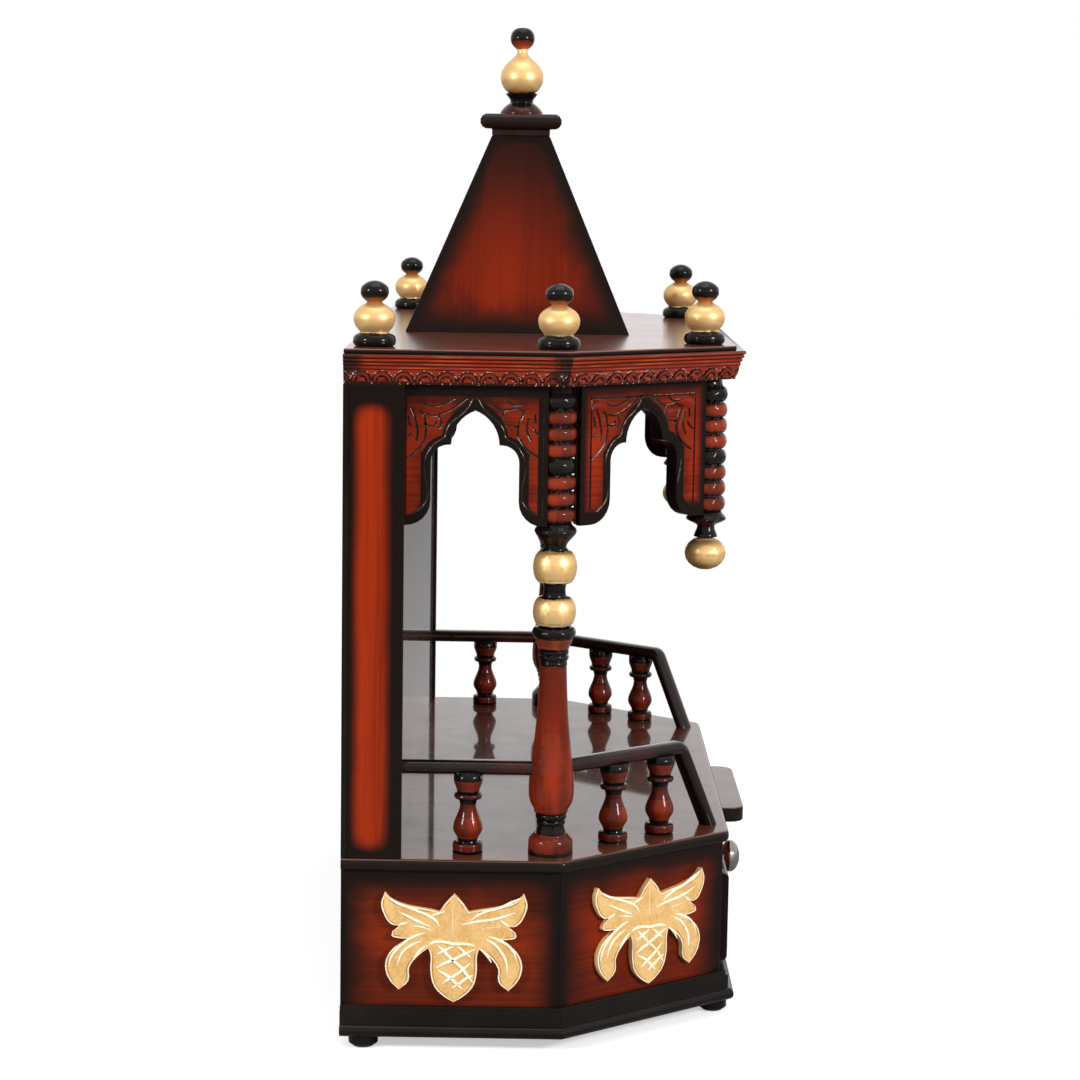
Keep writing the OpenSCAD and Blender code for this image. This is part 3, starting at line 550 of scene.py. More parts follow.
PANEL_H = 124.5  # height of an arch panel in mm
# A cusped opening: half width, lobe radius, half width and height of its point, foot flare
LEG, LOBE, POINT_W, POINT_H, FLARE = 32 * MM, 12.5 * MM, 17.5 * MM, 25 * MM, 18 * MM
SHOULDER = -65.5 * MM
PANEL_LOW = -PANEL_H * MM
POINT_C = (POINT_H ** 2 - POINT_W ** 2) / (2 * POINT_W)


def make_cusp_distance():
    """Distance of a point of a panel from its cusped opening."""
    tree, have, give = group("cusp_distance", [("U", "Float"), ("V", "Float")], ["Distance"])
    a = maths(tree, "ABSOLUTE", have["U"])
    v = have["V"]
    rise = maths(tree, "MAXIMUM", maths(tree, "SUBTRACT", v, SHOULDER), 0.0)
    point = maths(tree, "SUBTRACT", hypotenuse(tree, maths(tree, "ADD", a, POINT_C), rise),
                  POINT_C + POINT_W)
    lobe = maths(tree, "SUBTRACT", hypotenuse(tree, maths(tree, "SUBTRACT", a, LEG - LOBE),
                                              maths(tree, "SUBTRACT", v, SHOULDER - LOBE)), LOBE)
    leg = maths(tree, "MAXIMUM", maths(tree, "SUBTRACT", a, LEG),
                maths(tree, "SUBTRACT", v, SHOULDER - LOBE))
    away = maths(tree, "MINIMUM", maths(tree, "MINIMUM", point, lobe), leg)
    flare_v = PANEL_LOW + FLARE
    foot = maths(tree, "SUBTRACT", FLARE, hypotenuse(tree, maths(tree, "SUBTRACT", a, LEG + FLARE),
                                                     maths(tree, "SUBTRACT", v, flare_v)))
    low = maths(tree, "LESS_THAN", v, flare_v)
    away = maths(tree, "ADD", maths(tree, "MULTIPLY", foot, low),
                 maths(tree, "MULTIPLY", away, maths(tree, "SUBTRACT", 1.0, low)))
    tree.links.new(away, give["Distance"])
    return tree


CUSP = make_cusp_distance()
BLACK_BAND = 7.2 * MM
FIELD_LOW = -117 * MM
FRONT_FIELD_TOP = -30 * MM
PANEL_RED, PANEL_DEEP = colour(152, 44, 16), colour(100, 27, 10)


def field_mask(tree, place, away, u, v, half_w, field_top, field_low, fade=0.6 * MM):
    """1 on the red field of a panel: outside the black band and inside the frame's lines."""
    cloud = put(tree, "TexNoise", {"Vector": place, "Scale": 90.0, "Detail": 3.0})
    soft = ramp_between(tree, cloud, 0.3, 0.7, 0.0, 5 * MM)
    inside = maths(tree, "SUBTRACT", half_w, maths(tree, "ABSOLUTE", u))
    under = maths(tree, "SUBTRACT", field_top, v)
    over = maths(tree, "SUBTRACT", v, field_low)
    band = ramp_between(tree, away, BLACK_BAND - 0.3 * MM, BLACK_BAND + 0.4 * MM)
    edge = maths(tree, "MINIMUM", inside, maths(tree, "MINIMUM", under, over))
    edge = ramp_between(tree, edge, 0.0, fade)
    spray = ramp_between(tree, maths(tree, "SUBTRACT", under, soft), -4 * MM, 12 * MM, 0.2, 1.0)
    near_hole = ramp_between(tree, maths(tree, "SUBTRACT", away, soft), 4 * MM, 14 * MM, 0.55, 1.0)
    spray = maths(tree, "MULTIPLY", spray, near_hole)
    return maths(tree, "MULTIPLY", maths(tree, "MULTIPLY", band, edge), spray)


def panel_material(name, middle, along, half_w, field_top, fade=0.6 * MM, shift=0.0):
    """Cusped panel: a red field inside a black band and a black frame; shift moves the frame."""
    material, tree, shader, place = start_material(name)
    u, v = board_place(tree, place, middle, along)
    away = use(tree, CUSP, {"U": u, "V": v})
    framed = maths(tree, "ADD", u, shift)
    field = field_mask(tree, place, away, framed, v, half_w, field_top, FIELD_LOW, fade)
    red, fibres = red_at(tree, u, v, PANEL_RED, PANEL_DEEP)
    gloss(tree, shader, place, blend(tree, field, BLACK, red), height=fibres)
    return material


# The front opening: lobes along a half ellipse
FRONT_HALF, FRONT_SPAN, FRONT_RISE, FRONT_LOBE = 165.4, 143.4, 58.0, 21.0
LOBE_TURN = 22.5  # degrees from one lobe to the next


def front_lobes(grow=0.0):
    """Middles and radius of the lobes in the right half, in mm from the panel's top middle."""
    return [((FRONT_SPAN - FRONT_LOBE) * cos(radians(i * LOBE_TURN)),
             FRONT_RISE * sin(radians(i * LOBE_TURN)) - PANEL_H) for i in range(5)], FRONT_LOBE + grow


def front_panel_material(name):
    material, tree, shader, place = start_material(name)
    x, y, z = split(tree, place)
    a = maths(tree, "ABSOLUTE", x)
    v = maths(tree, "SUBTRACT", z, ROOF_LOW)
    middles, radius = front_lobes()
    away = None
    for middle in middles:
        one = hypotenuse(tree, maths(tree, "SUBTRACT", a, middle[0] * MM),
                         maths(tree, "SUBTRACT", v, middle[1] * MM))
        away = one if away is None else maths(tree, "MINIMUM", away, one)
    away = maths(tree, "SUBTRACT", away, radius * MM)
    point = hypotenuse(tree, maths(tree, "ADD", a, 12 * MM), maths(tree, "ADD", v, 66.5 * MM))
    away = maths(tree, "MINIMUM", away, maths(tree, "SUBTRACT", point, 29 * MM))
    field = field_mask(tree, place, away, x, v, (FRONT_HALF - 6) * MM, FRONT_FIELD_TOP, FIELD_LOW)
    red, fibres = red_at(tree, x, v, PANEL_RED, PANEL_DEEP)
    gloss(tree, shader, place, blend(tree, field, BLACK, red), height=fibres)
    return material


REED_TOP, REED_H, SCALLOP_Z, SCALLOP_PITCH = 21.5 * MM, 11 * MM, 2.2 * MM, 15.3 * MM
# Radii round a scallop: its bead's edge, its ring's outer edge, and the rims beside them that carry a
# painted highlight
BEAD_EDGE, RING_EDGE, BEAD_RIM, RING_RIM = 3.85 * MM, 7.0 * MM, 3.4 * MM, 7.7 * MM


def line_at(tree, away, radius, thin, wide, depth):
    """A ring of depth at a radius, full within thin of it and gone at wide."""
    off = maths(tree, "ABSOLUTE", maths(tree, "SUBTRACT", away, radius))
    return ramp_between(tree, off, thin * MM, wide * MM, depth, 0.0)


def cornice_material(name, middle, along, count, half_len):
    """Red cornice: dark lines between its reeds, and dark sinkings round its scallops; pale orange on the
    reed crests, partly worn paint and partly painted highlight, and a painted highlight on the scallop
    rims.
    """
    material, tree, shader, place = start_material(name)
    u, v = board_place(tree, place, (middle[0], middle[1], ROOF_LOW - REED_TOP), along)
    red, fibres = red_at(tree, u, v, colour(136, 40, 16), colour(84, 22, 9))
    reeds = maths(tree, "GREATER_THAN", v, REED_TOP - REED_H - 0.3 * MM)
    crest = maths(tree, "PINGPONG", maths(tree, "SUBTRACT", v, REED_TOP - REED_H), REED_H / 8)
    line = maths(tree, "MULTIPLY", ramp_between(tree, crest, 0.15 * MM, 0.65 * MM, 0.85, 0.0), reeds)
    # Reed crests: pale orange that is partly worn paint and partly a painted highlight, broken along the
    # reed by noise
    crest_wear_and_highlight = maths(tree, "MULTIPLY", ramp_between(tree, crest, 0.8 * MM, 1.3 * MM), reeds)
    worn = put(tree, "CombineXYZ", {0: maths(tree, "MULTIPLY", u, 30.0), 1: 0.3,
                                    2: maths(tree, "MULTIPLY", v, 400.0)})
    worn = put(tree, "TexNoise", {"Vector": worn, "Scale": 1.0, "Detail": 2.0})
    crest_wear_and_highlight = maths(tree, "MULTIPLY", crest_wear_and_highlight, ramp_between(tree, worn, 0.42, 0.66, 0.0, 0.7))
    shift = 0.0 if count % 2 else SCALLOP_PITCH / 2
    turn_u = maths(tree, "ADD", u, shift + 20.5 * SCALLOP_PITCH)
    cell = maths(tree, "SUBTRACT", maths(tree, "MODULO", turn_u, SCALLOP_PITCH), SCALLOP_PITCH / 2)
    away = hypotenuse(tree, cell, maths(tree, "SUBTRACT", v, SCALLOP_Z))
    low = maths(tree, "SUBTRACT", 1.0, reeds)
    inner = line_at(tree, away, BEAD_EDGE, 0.3, 1.0, 0.95)
    outer = line_at(tree, away, RING_EDGE, 0.3, 1.3, 0.9)
    sunk = maths(tree, "MULTIPLY", maths(tree, "MAXIMUM", inner, outer), low)
    # Painted highlight: pale specks on the scallop rims, broken up by noise
    highlight_breaks = put(tree, "TexNoise", {"Vector": place, "Scale": 520.0, "Detail": 2.0})
    rim = maths(tree, "MAXIMUM", line_at(tree, away, BEAD_RIM, 0.15, 0.5, 1.0),
                line_at(tree, away, RING_RIM, 0.15, 0.5, 1.0))
    scallop_rim_highlight = maths(tree, "MULTIPLY", maths(tree, "MULTIPLY", rim, low),
                  ramp_between(tree, highlight_breaks, 0.52, 0.62, 0.0, 0.75))
    fillet = ramp_between(tree, v, 1.2 * MM, 2.0 * MM, 0.85, 0.0)
    cloud = put(tree, "TexNoise", {"Vector": place, "Scale": 45.0, "Detail": 3.0})
    ends = maths(tree, "SUBTRACT", half_len, maths(tree, "ABSOLUTE", u))
    ends = maths(tree, "ADD", ends, ramp_between(tree, cloud, 0.3, 0.7, -7 * MM, 7 * MM))
    ends = ramp_between(tree, ends, 0.0, 18 * MM, 0.9, 0.0)
    dark = maths(tree, "MAXIMUM", maths(tree, "MAXIMUM", line, sunk), fillet)
    # Pale orange of the crests: worn paint and painted highlight in one
    tint = blend(tree, crest_wear_and_highlight, red, colour(190, 98, 48))
    tint = blend(tree, ends, blend(tree, dark, tint, BLACK), BLACK)
    # Pale colour of the painted highlight on the scallop rims
    tint = blend(tree, scallop_rim_highlight, tint, colour(206, 176, 158))
    high = maths(tree, "SUBTRACT", maths(tree, "MULTIPLY", fibres, 0.1), maths(tree, "MAXIMUM", line, sunk))
    gloss(tree, shader, place, tint, bump=0.35, height=high)
    return material


# ---- Materials ----

DIAG_A = Vector((SIDE_X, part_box("base_side_right")[0].y, 0))
DIAG_B = Vector((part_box("base_front")[1].x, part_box("base_front")[0].y, 0))
DIAG_ALONG = (DIAG_B - DIAG_A).normalized()
DIAG_MID = (DIAG_A + DIAG_B) / 2


def middle_of(node):
    low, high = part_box(node)
    return (low + high) / 2, (high - low) / 2


base_mid, base_half = middle_of("base_side_right")
wall_mid, wall_half = middle_of("side_wall_right")
front_mid, front_half = middle_of("base_front")
BASE_RED = colour(126, 42, 17)
BASE_DEEP = colour(88, 30, 13)
ALONG_Y = (radians(90), 0, 0)
base_side = board_material("base_side_lacquer", base_mid, (0, 1), base_half.y, base_half.z, 0.030,
                           light=BASE_RED, deep=BASE_DEEP)
base_diagonal = board_material("base_diagonal_lacquer", (DIAG_MID.x, DIAG_MID.y, base_mid.z),
                               DIAG_ALONG, (DIAG_B - DIAG_A).length / 2, base_half.z, 0.030,
                               light=colour(126, 37, 13), deep=colour(90, 27, 11))
base_front = board_material("base_front_lacquer", (0, front_mid.y, front_mid.z), (1, 0), front_half.x,
                            front_half.z, 0.030, light=BASE_RED, deep=BASE_DEEP)
wall_field = (wall_mid.x, wall_mid.y + 2.8 * MM, wall_mid.z - 4 * MM)
wall_lacquer = board_material("side_wall_lacquer", wall_field, (0, 1), wall_half.y - 3.7 * MM,
                              wall_half.z - 7 * MM, 0.0105, upright=True,
                              light=colour(154, 46, 15), deep=colour(116, 31, 11), waver=0.12)

spire_low, spire_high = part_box("spire_sides")
spire_mid = (spire_low + spire_high) / 2
spire_half_z = (spire_high.z - spire_low.z) / 2
SIDE_FOOT, SIDE_TOP = 89 * MM, 23.5 * MM
spire_side_lacquer, spire_end_lacquer = [
    board_material(name, (0, spire_mid.y, spire_mid.z), along, (SIDE_FOOT + SIDE_TOP) / 2, spire_half_z,
                   0.034, colour(118, 33, 11), colour(96, 25, 9),
                   taper=(SIDE_FOOT - SIDE_TOP) / 2 / spire_half_z, upright=True, coat_ior=1.1, dusk=0.9)
    for name, along in (("spire_side_lacquer", (0, 1)), ("spire_end_lacquer", (1, 0)))]

plinth_lacquer = black_material("plinth_lacquer", edge=colour(34, 26, 22), body=colour(19, 15, 13),
                                coat_ior=1.22)
panel_lacquer = black_material("inner_panel_lacquer", edge=colour(100, 61, 46), body=colour(86, 50, 38),
                               coat_ior=1.36, specular=0.12, cells=(46, 46, 2.4))


def board_top_material(name, top, low=colour(84, 46, 32), high=colour(104, 58, 42), polish=0.05):
    """Polished brown top of a board, with black rounded edges below its top level."""
    material, tree, shader, place = start_material(name)
    z = split(tree, place)[2]
    broad = put(tree, "Mapping", {"Vector": place, "Scale": (1.6, 9, 9)})
    cloud = put(tree, "TexNoise", {"Vector": broad, "Scale": 1.0, "Detail": 4.0})
    brown = blend(tree, ramp_between(tree, cloud, 0.36, 0.68), low, high)
    on_top = ramp_between(tree, z, top - 1.3 * MM, top - 0.5 * MM)
    gloss(tree, shader, place, blend(tree, on_top, BLACK, brown), coat_ior=1.43, bump=0.012,
          coat_roughness=polish)
    tree.links.new(ramp_between(tree, on_top, 0.0, 1.0, 0.3, 1.0), shader.inputs["Coat Weight"])
    return material


deck_lacquer = board_top_material("deck_lacquer", DECK_TOP)
roof_lacquer = board_top_material("roof_lacquer", ROOF_TOP, colour(88, 50, 38), colour(116, 68, 54), 0.16)
tray_lacquer = board_top_material("tray_lacquer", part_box("lamp_tray")[1].z)
rail_lacquer = black_material("rail_lacquer", edge=colour(62, 22, 15), body=colour(24, 14, 11),
                              coat_ior=1.32)
cap_lacquer = black_material("cap_lacquer", edge=colour(70, 28, 18), body=colour(28, 17, 14))

BLACK_PAINT = colour(13, 10, 9)
DARK_RED = colour(94, 28, 16)
GOLD = with_gold(colour(226, 186, 126))
RIM = with_gold(colour(252, 232, 190), 0.5)
AMBER = with_gold(colour(176, 104, 48), 0.5)
PLAIN_BLACK, PLAIN_DARK_RED, BEAD_RED = [
    with_gold(tint, 0.0) for tint in (BLACK_PAINT, DARK_RED, colour(146, 48, 20))]
PILLAR_AXIS = middle_of("pillar_right")[0]
pendant_low, pendant_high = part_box("pendants")
PENDANT_R = 15.7 * MM
PENDANT_AXIS = Vector((pendant_high.x - PENDANT_R, (pendant_low.y + pendant_high.y) / 2, 0))
BEAD_H = 11.9
BEADS = [(COLLAR + i * BEAD_H, PLAIN_BLACK if i % 4 == 3 else BEAD_RED) for i in range(8)]
NECK = [(343, PLAIN_BLACK), (370.5, PLAIN_BLACK)]
# Radii from full painted shade in the creases between beads to none at the crests
BEAD_GROOVE = (12.0, 14.8)


def gold_ball(low, high):
    """A gilded ball between two heights, with pale lines where it meets the black."""
    return [(low, RIM), (low + 0.8, GOLD), (high - 0.8, RIM), (high, PLAIN_BLACK)]


pillar_paint = banded_material("pillar_paint", DECK_TOP, [
    (0, PLAIN_BLACK), (1.5, PLAIN_DARK_RED), (4, with_gold(colour(116, 38, 18), 0)),
    (12.5, PLAIN_DARK_RED), (15, PLAIN_BLACK), (31.8, with_gold(colour(142, 43, 17), 0)),
    (140.4, PLAIN_BLACK), (154.5, with_gold(colour(132, 56, 28), 0)), (162.4, PLAIN_BLACK),
    *gold_ball(171.5, 192.4), *gold_ball(203.6, 226.6), *BEADS, *NECK], PILLAR_AXIS, BEAD_GROOVE,
    darker=(38, 141, 0.6))
pendant_paint = banded_material("pendant_paint", DECK_TOP, [
    (0, GOLD), (225.2, RIM), (226, PLAIN_BLACK), (236.5, PLAIN_DARK_RED), (240, PLAIN_BLACK), *BEADS,
    *NECK], PENDANT_AXIS, BEAD_GROOVE)
FINIAL_R, FINIAL_H = 15.7, 47.5
finial_paint = banded_material("finial_paint", ROOF_TOP, [
    (0, PLAIN_BLACK), (0.205 * FINIAL_H, PLAIN_BLACK), (0.210 * FINIAL_H, RIM), (0.22 * FINIAL_H, GOLD),
    (0.60 * FINIAL_H, GOLD), (0.69 * FINIAL_H, AMBER), (0.76 * FINIAL_H, PLAIN_BLACK),
    (FINIAL_H, PLAIN_BLACK)], blended=True)
TOP_R, TOP_H = 17.8, 70
top_finial_paint = banded_material("top_finial_paint", CAP_TOP, [
    (0, PLAIN_DARK_RED), (0.09 * TOP_H, PLAIN_BLACK), (0.252 * TOP_H, PLAIN_BLACK),
    (0.257 * TOP_H, AMBER), (0.30 * TOP_H, GOLD), (0.72 * TOP_H, GOLD), (0.75 * TOP_H, RIM),
    (0.757 * TOP_H, AMBER), (0.79 * TOP_H, BEAD_RED), (0.86 * TOP_H, PLAIN_BLACK),
    (TOP_H, PLAIN_BLACK)], blended=True)
BALUSTER_H = 59.25
baluster_paint = banded_material("baluster_paint", DECK_TOP, [
    (0, PLAIN_BLACK), (0.03 * BALUSTER_H, PLAIN_DARK_RED), (0.12 * BALUSTER_H, PLAIN_BLACK),
    (0.18 * BALUSTER_H, with_gold(colour(124, 40, 20), 0)), (0.46 * BALUSTER_H, PLAIN_DARK_RED),
    (0.62 * BALUSTER_H, PLAIN_BLACK), (0.70 * BALUSTER_H, with_gold(colour(70, 24, 16), 0)),
    (0.75 * BALUSTER_H, PLAIN_BLACK), (0.79 * BALUSTER_H, with_gold(colour(104, 36, 20), 0)),
    (0.92 * BALUSTER_H, PLAIN_BLACK), (BALUSTER_H, PLAIN_BLACK)])

arch_mid = middle_of("arch_side_right")[0]
arch_side_lacquer = panel_material("arch_side_lacquer", (0, arch_mid.y, ROOF_LOW), (0, -1), 47.8 * MM,
                                   -30 * MM, shift=2 * MM)
NORMAL = Vector((-DIAG_ALONG.y, DIAG_ALONG.x, 0))
PANEL_IN = 9 * MM
SIDE_SLIP = (1 + DIAG_ALONG.y) / -DIAG_ALONG.x
FRONT_SLIP = (1 + DIAG_ALONG.x) / -DIAG_ALONG.y
diagonal_mid = DIAG_MID + Vector((-1 - FRONT_SLIP, 1 + SIDE_SLIP, 0)) * PANEL_IN / 2
arch_diagonal_lacquer = panel_material("arch_diagonal_lacquer", (diagonal_mid.x, diagonal_mid.y, ROOF_LOW),
                                       DIAG_ALONG, 58 * MM, -23 * MM, 9 * MM)
arch_front_lacquer = front_panel_material("arch_front_lacquer")
SIDE_HALF = 81.5 * MM
cornice_side = cornice_material("cornice_side_lacquer", (0, BACK_Y - SIDE_HALF), (0, -1), 10, SIDE_HALF)
cornice_diagonal = cornice_material("cornice_diagonal_lacquer", (DIAG_MID.x, DIAG_MID.y), DIAG_ALONG, 10,
                                    150 * MM)
cornice_front = cornice_material("cornice_front_lacquer", (0, 0), (1, 0), 25, 350 * MM)


def wood_material(name):
    """Bare pale wood, its fibres running from front to back."""
    material, tree, shader, place = start_material(name)
    grain_place = put(tree, "Mapping", {"Vector": place, "Rotation": ALONG_Y})
    tree.links.new(blend(tree, use(tree, FIGURE, {"Vector": grain_place}), colour(168, 120, 76),
                         colour(206, 164, 114)), shader.inputs["Base Color"])
    tree.links.new(put(tree, "Bump", {"Height": use(tree, FIGURE, {"Vector": grain_place}, out=1),
                                      "Strength": 0.2, "Distance": 0.0004}), shader.inputs["Normal"])
    shader.inputs["Roughness"].default_value = 0.62
    return material


wood = wood_material("plain_wood")

drawer_mid, drawer_half = middle_of("drawer_front")
drawer_lacquer = board_material("drawer_lacquer", (0, drawer_mid.y, drawer_mid.z), (1, 0), drawer_half.x,
                                drawer_half.z, 0.022, light=BASE_RED, deep=BASE_DEEP)


def worked_paint(name, light, deep, rough=0.42):
    """Brushed opaque paint with fine tool marks."""
    material, tree, shader, place = start_material(name)
    cloud = put(tree, "TexNoise", {"Vector": place, "Scale": 70.0, "Detail": 5.0})
    marks = put(tree, "TexNoise", {"Vector": place, "Scale": 420.0, "Detail": 2.0})
    tint = maths(tree, "MULTIPLY_ADD", cloud, 0.6, maths(tree, "MULTIPLY", marks, 0.4))
    tree.links.new(blend(tree, ramp_between(tree, tint, 0.38, 0.64), light, deep),
                   shader.inputs["Base Color"])
    tree.links.new(ramp_between(tree, cloud, 0.3, 0.7, rough - 0.06, rough + 0.08),
                   shader.inputs["Roughness"])
    tree.links.new(put(tree, "Bump", {"Height": marks, "Strength": 0.25, "Distance": 0.0005}),
                   shader.inputs["Normal"])
    shader.inputs["Specular IOR Level"].default_value = 0.3
    return material


tan_gold = worked_paint("tan_gold_paint", colour(232, 190, 126), colour(212, 164, 98))
groove_paint = worked_paint("groove_paint", colour(160, 108, 56), colour(118, 74, 36))
ridge_paint = worked_paint("ridge_paint", colour(255, 250, 232), colour(252, 236, 200), 0.36)


def knob_material(name):
    """Bright plated metal, faintly smeared."""
    material, tree, shader, place = start_material(name)
    smear = put(tree, "TexNoise", {"Vector": place, "Scale": 120.0, "Detail": 3.0})
    tree.links.new(ramp_between(tree, smear, 0.3, 0.7, 0.10, 0.20), shader.inputs["Roughness"])
    tree.links.new(blend(tree, smear, colour(176, 172, 166), colour(122, 118, 112)),
                   shader.inputs["Base Color"])
    shader.inputs["Metallic"].default_value = 1.0
    return material


steel = knob_material("knob_metal")


# ---- Carving ----


def stroke_tubes(name, strokes, width, sink=0.0, taper=True):
    """Rods along strokes of (u, v) points in mm, drawn on the plane w = 0, as one mesh."""
    data = bpy.data.curves.new(name, "CURVE")
    data.dimensions = "3D"
    data.bevel_depth = 1.0
    data.bevel_resolution = 1
    data.resolution_u = 3
    data.use_fill_caps = True
    for points in strokes:
        spline = data.splines.new("BEZIER")
        spline.bezier_points.add(len(points) - 1)
        last = len(points) - 1
        for i, (point, (u, v)) in enumerate(zip(spline.bezier_points, points)):
            point.co = (u * MM, v * MM, sink)
            point.handle_left_type = point.handle_right_type = "AUTO"
            end = taper and i in (0, last)
            point.radius = width * (0.35 if end else 1.0)
    obj = bpy.data.objects.new(name, data)
    bpy.context.scene.collection.objects.link(obj)
    activate(obj)
    bpy.ops.object.convert(target="MESH")
    return bpy.context.object


def placed(obj, origin, along, outward):
    """Lays a flat piece on a face: u runs along, v up, w outwards; the place goes into the mesh."""
    right, out = Vector(along).normalized(), Vector(outward).normalized()
    frame_on = Matrix((right, Vector((0, 0, 1)), out)).transposed().to_4x4()
    obj.matrix_world = Matrix.Translation(origin) @ frame_on
    activate(obj)
    bpy.ops.object.transform_apply(location=True, rotation=True, scale=True)
    in_edit(obj, lambda: bpy.ops.mesh.normals_make_consistent(inside=False))
    return obj


def carved(panel, cutter):
    """Cuts the cutter's rods out of a panel as grooves, then removes the cutter."""
    modifier = panel.modifiers.new("grooves", "BOOLEAN")
    modifier.operation = "DIFFERENCE"
    modifier.solver = "EXACT"
    modifier.use_self = True
    modifier.material_mode = "TRANSFER"
    modifier.object = cutter
    apply_modifiers(panel)
    bpy.data.objects.remove(cutter)


BAND_LINE = [(2.2, -31.4), (5.1, -37.2), (10.2, -43.1), (16.8, -48.2), (20.8, -54), (22.6, -59.8),
             (28.4, -63.5), (33.5, -69.3), (36.4, -76.6), (35.7, -88.2), (33.9, -99.9),
             (36.4, -108.6), (44.5, -115.6)]
SPANDRELS = [
    [(-51, -30), (-51, -60), (-51, -114)], [(49, -31), (49, -60), (49, -116)],
    [(31, -59.1), (35.7, -66.4), (40.8, -70.4), (45.9, -73.7)],
    [(20.4, -40.1), (34.6, -40.5), (33.5, -44.5), (31, -51.8), (31, -59.1)],
    [(21.1, -40.1), (19, -46.7)], [(20.4, -50.7), (31, -51.8)],
    [(6.6, -30.7), (13.1, -36.5), (19.7, -40.1)], [(21.9, -32.1), (26.2, -35.8), (34.3, -35.8)],
    [(38.6, -45.2), (37.2, -54), (40.1, -62)], [(43, -42.3), (43.4, -48.9)],
    [(41.5, -51.8), (43.7, -55.4), (47.4, -58)],
    [(-50.6, -76.8), (-43.7, -71.4), (-37.3, -64), (-35.7, -57.6), (-36.3, -49), (-38.4, -42.7),
     (-41, -41.6)],
    [(-36.8, -51.2), (-28.8, -51.2), (-29.4, -48.5)], [(-26.7, -44.8), (-24.6, -50.1), (-26.2, -54.4)],
    [(-46.9, -38.9), (-44.2, -44.8), (-42.6, -51.2), (-41.6, -57.6), (-42.6, -62.9)],
    [(-49, -44.8), (-47.4, -52.3)], [(-49, -59.7), (-45.8, -57.6)],
    [(-37.3, -36.3), (-31, -37.9), (-20.4, -35.2), (-15, -32)],
    [(-36.3, -43.2), (-31, -44.8), (-20.4, -41.6), (-11.9, -36.3), (-6.6, -32)]]
SPANDRELS += [BAND_LINE, [(-u, v) for u, v in BAND_LINE]]
DIAGONAL_LINES = SPANDRELS + [[(-51, -32), (0, -32), (49, -32)]]
GROOVE_R = 0.85 * MM
FRONT_LINE_OUT = 7.0


def front_line():
    """The line round the front opening, a little outside its lobes."""
    middles, radius = front_lobes(FRONT_LINE_OUT)
    line = []
    for step in range(0, 61):
        angle = radians(90 - step * 1.5)
        ray = (cos(angle), sin(angle))
        reach = 0.0
        for middle in middles + [(-middles[3][0], middles[3][1])]:
            across, up = middle[0], middle[1] + PANEL_H
            along = across * ray[0] + up * ray[1]
            inside = radius ** 2 - across ** 2 - up ** 2 + along ** 2
            if inside > 0:
                reach = max(reach, along + inside ** 0.5)
        line.append((reach * ray[0], reach * ray[1] - PANEL_H))
    return line


FRONT_LINE = front_line()
FRONT_STROKES = [FRONT_LINE, [(-u, v) for u, v in FRONT_LINE],
                 [(-155, -33), (0, -33), (155, -33)], [(-157, -33), (-157, -116)],
                 [(157, -33), (157, -116)]]
FRONT_STROKES += [[(s * (60 + 30 * k), -40 - 4 * k), (s * (84 + 24 * k), -46 - 8 * k),
                   (s * (104 + 18 * k), -58 - 12 * k)] for s in (-1, 1) for k in (0, 1, 2)]


def groove_material(name):
    """Dark lacquer in a groove, with a painted highlight on its upper edge where it faces up and back,
    broken up by noise.
    """
    material, tree, shader, place = start_material(name)
    highlight_breaks = put(tree, "TexNoise", {"Vector": place, "Scale": 240.0, "Detail": 3.0})
    normal_y, normal_z = split(tree, put(tree, "TexCoord", out=1))[1:]
    facing = maths(tree, "MULTIPLY_ADD", normal_y, 0.6, maths(tree, "MULTIPLY", normal_z, 0.8))
    # Painted highlight: pale where the groove's surface faces up and back
    painted_lip_highlight = maths(tree, "MULTIPLY", ramp_between(tree, facing, 0.15, 0.6),
                ramp_between(tree, highlight_breaks, 0.40, 0.58, 0.15, 1.0))
    gloss(tree, shader, place, blend(tree, painted_lip_highlight, colour(24, 15, 12), colour(176, 140, 122)), coat_ior=1.3)
    return material


groove_lacquer = groove_material("groove_lacquer")


def carved_panel(node, material, strokes, origin, along, outward):
    panel = copy_of(node, node + "_finished")
    bevelled(panel, 0.8 * MM)
    paint(panel, material, groove_lacquer)
    rods = placed(stroke_tubes(node + "_rods", strokes, GROOVE_R, taper=False), origin, along, outward)
    paint(rods, groove_lacquer)
    carved(panel, rods)
    smooth(panel)
    stand_for(panel, node)


SIDE_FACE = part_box("arch_side_right")[1].x
FRONT_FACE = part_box("arch_front")[0].y
for side, sign in (("left", -1), ("right", 1)):
    carved_panel("arch_side_" + side, arch_side_lacquer, SPANDRELS,
                 (sign * SIDE_FACE, arch_mid.y, ROOF_LOW), (0, -1, 0), (sign, 0, 0))
    carved_panel("arch_diagonal_" + side, arch_diagonal_lacquer,
                 DIAGONAL_LINES,
                 (sign * diagonal_mid.x, diagonal_mid.y, ROOF_LOW),
                 (sign * DIAG_ALONG.x, DIAG_ALONG.y, 0), (sign * NORMAL.x, NORMAL.y, 0))
carved_panel("arch_front", arch_front_lacquer, FRONT_STROKES, (0, FRONT_FACE, ROOF_LOW), (1, 0, 0),
             (0, -1, 0))

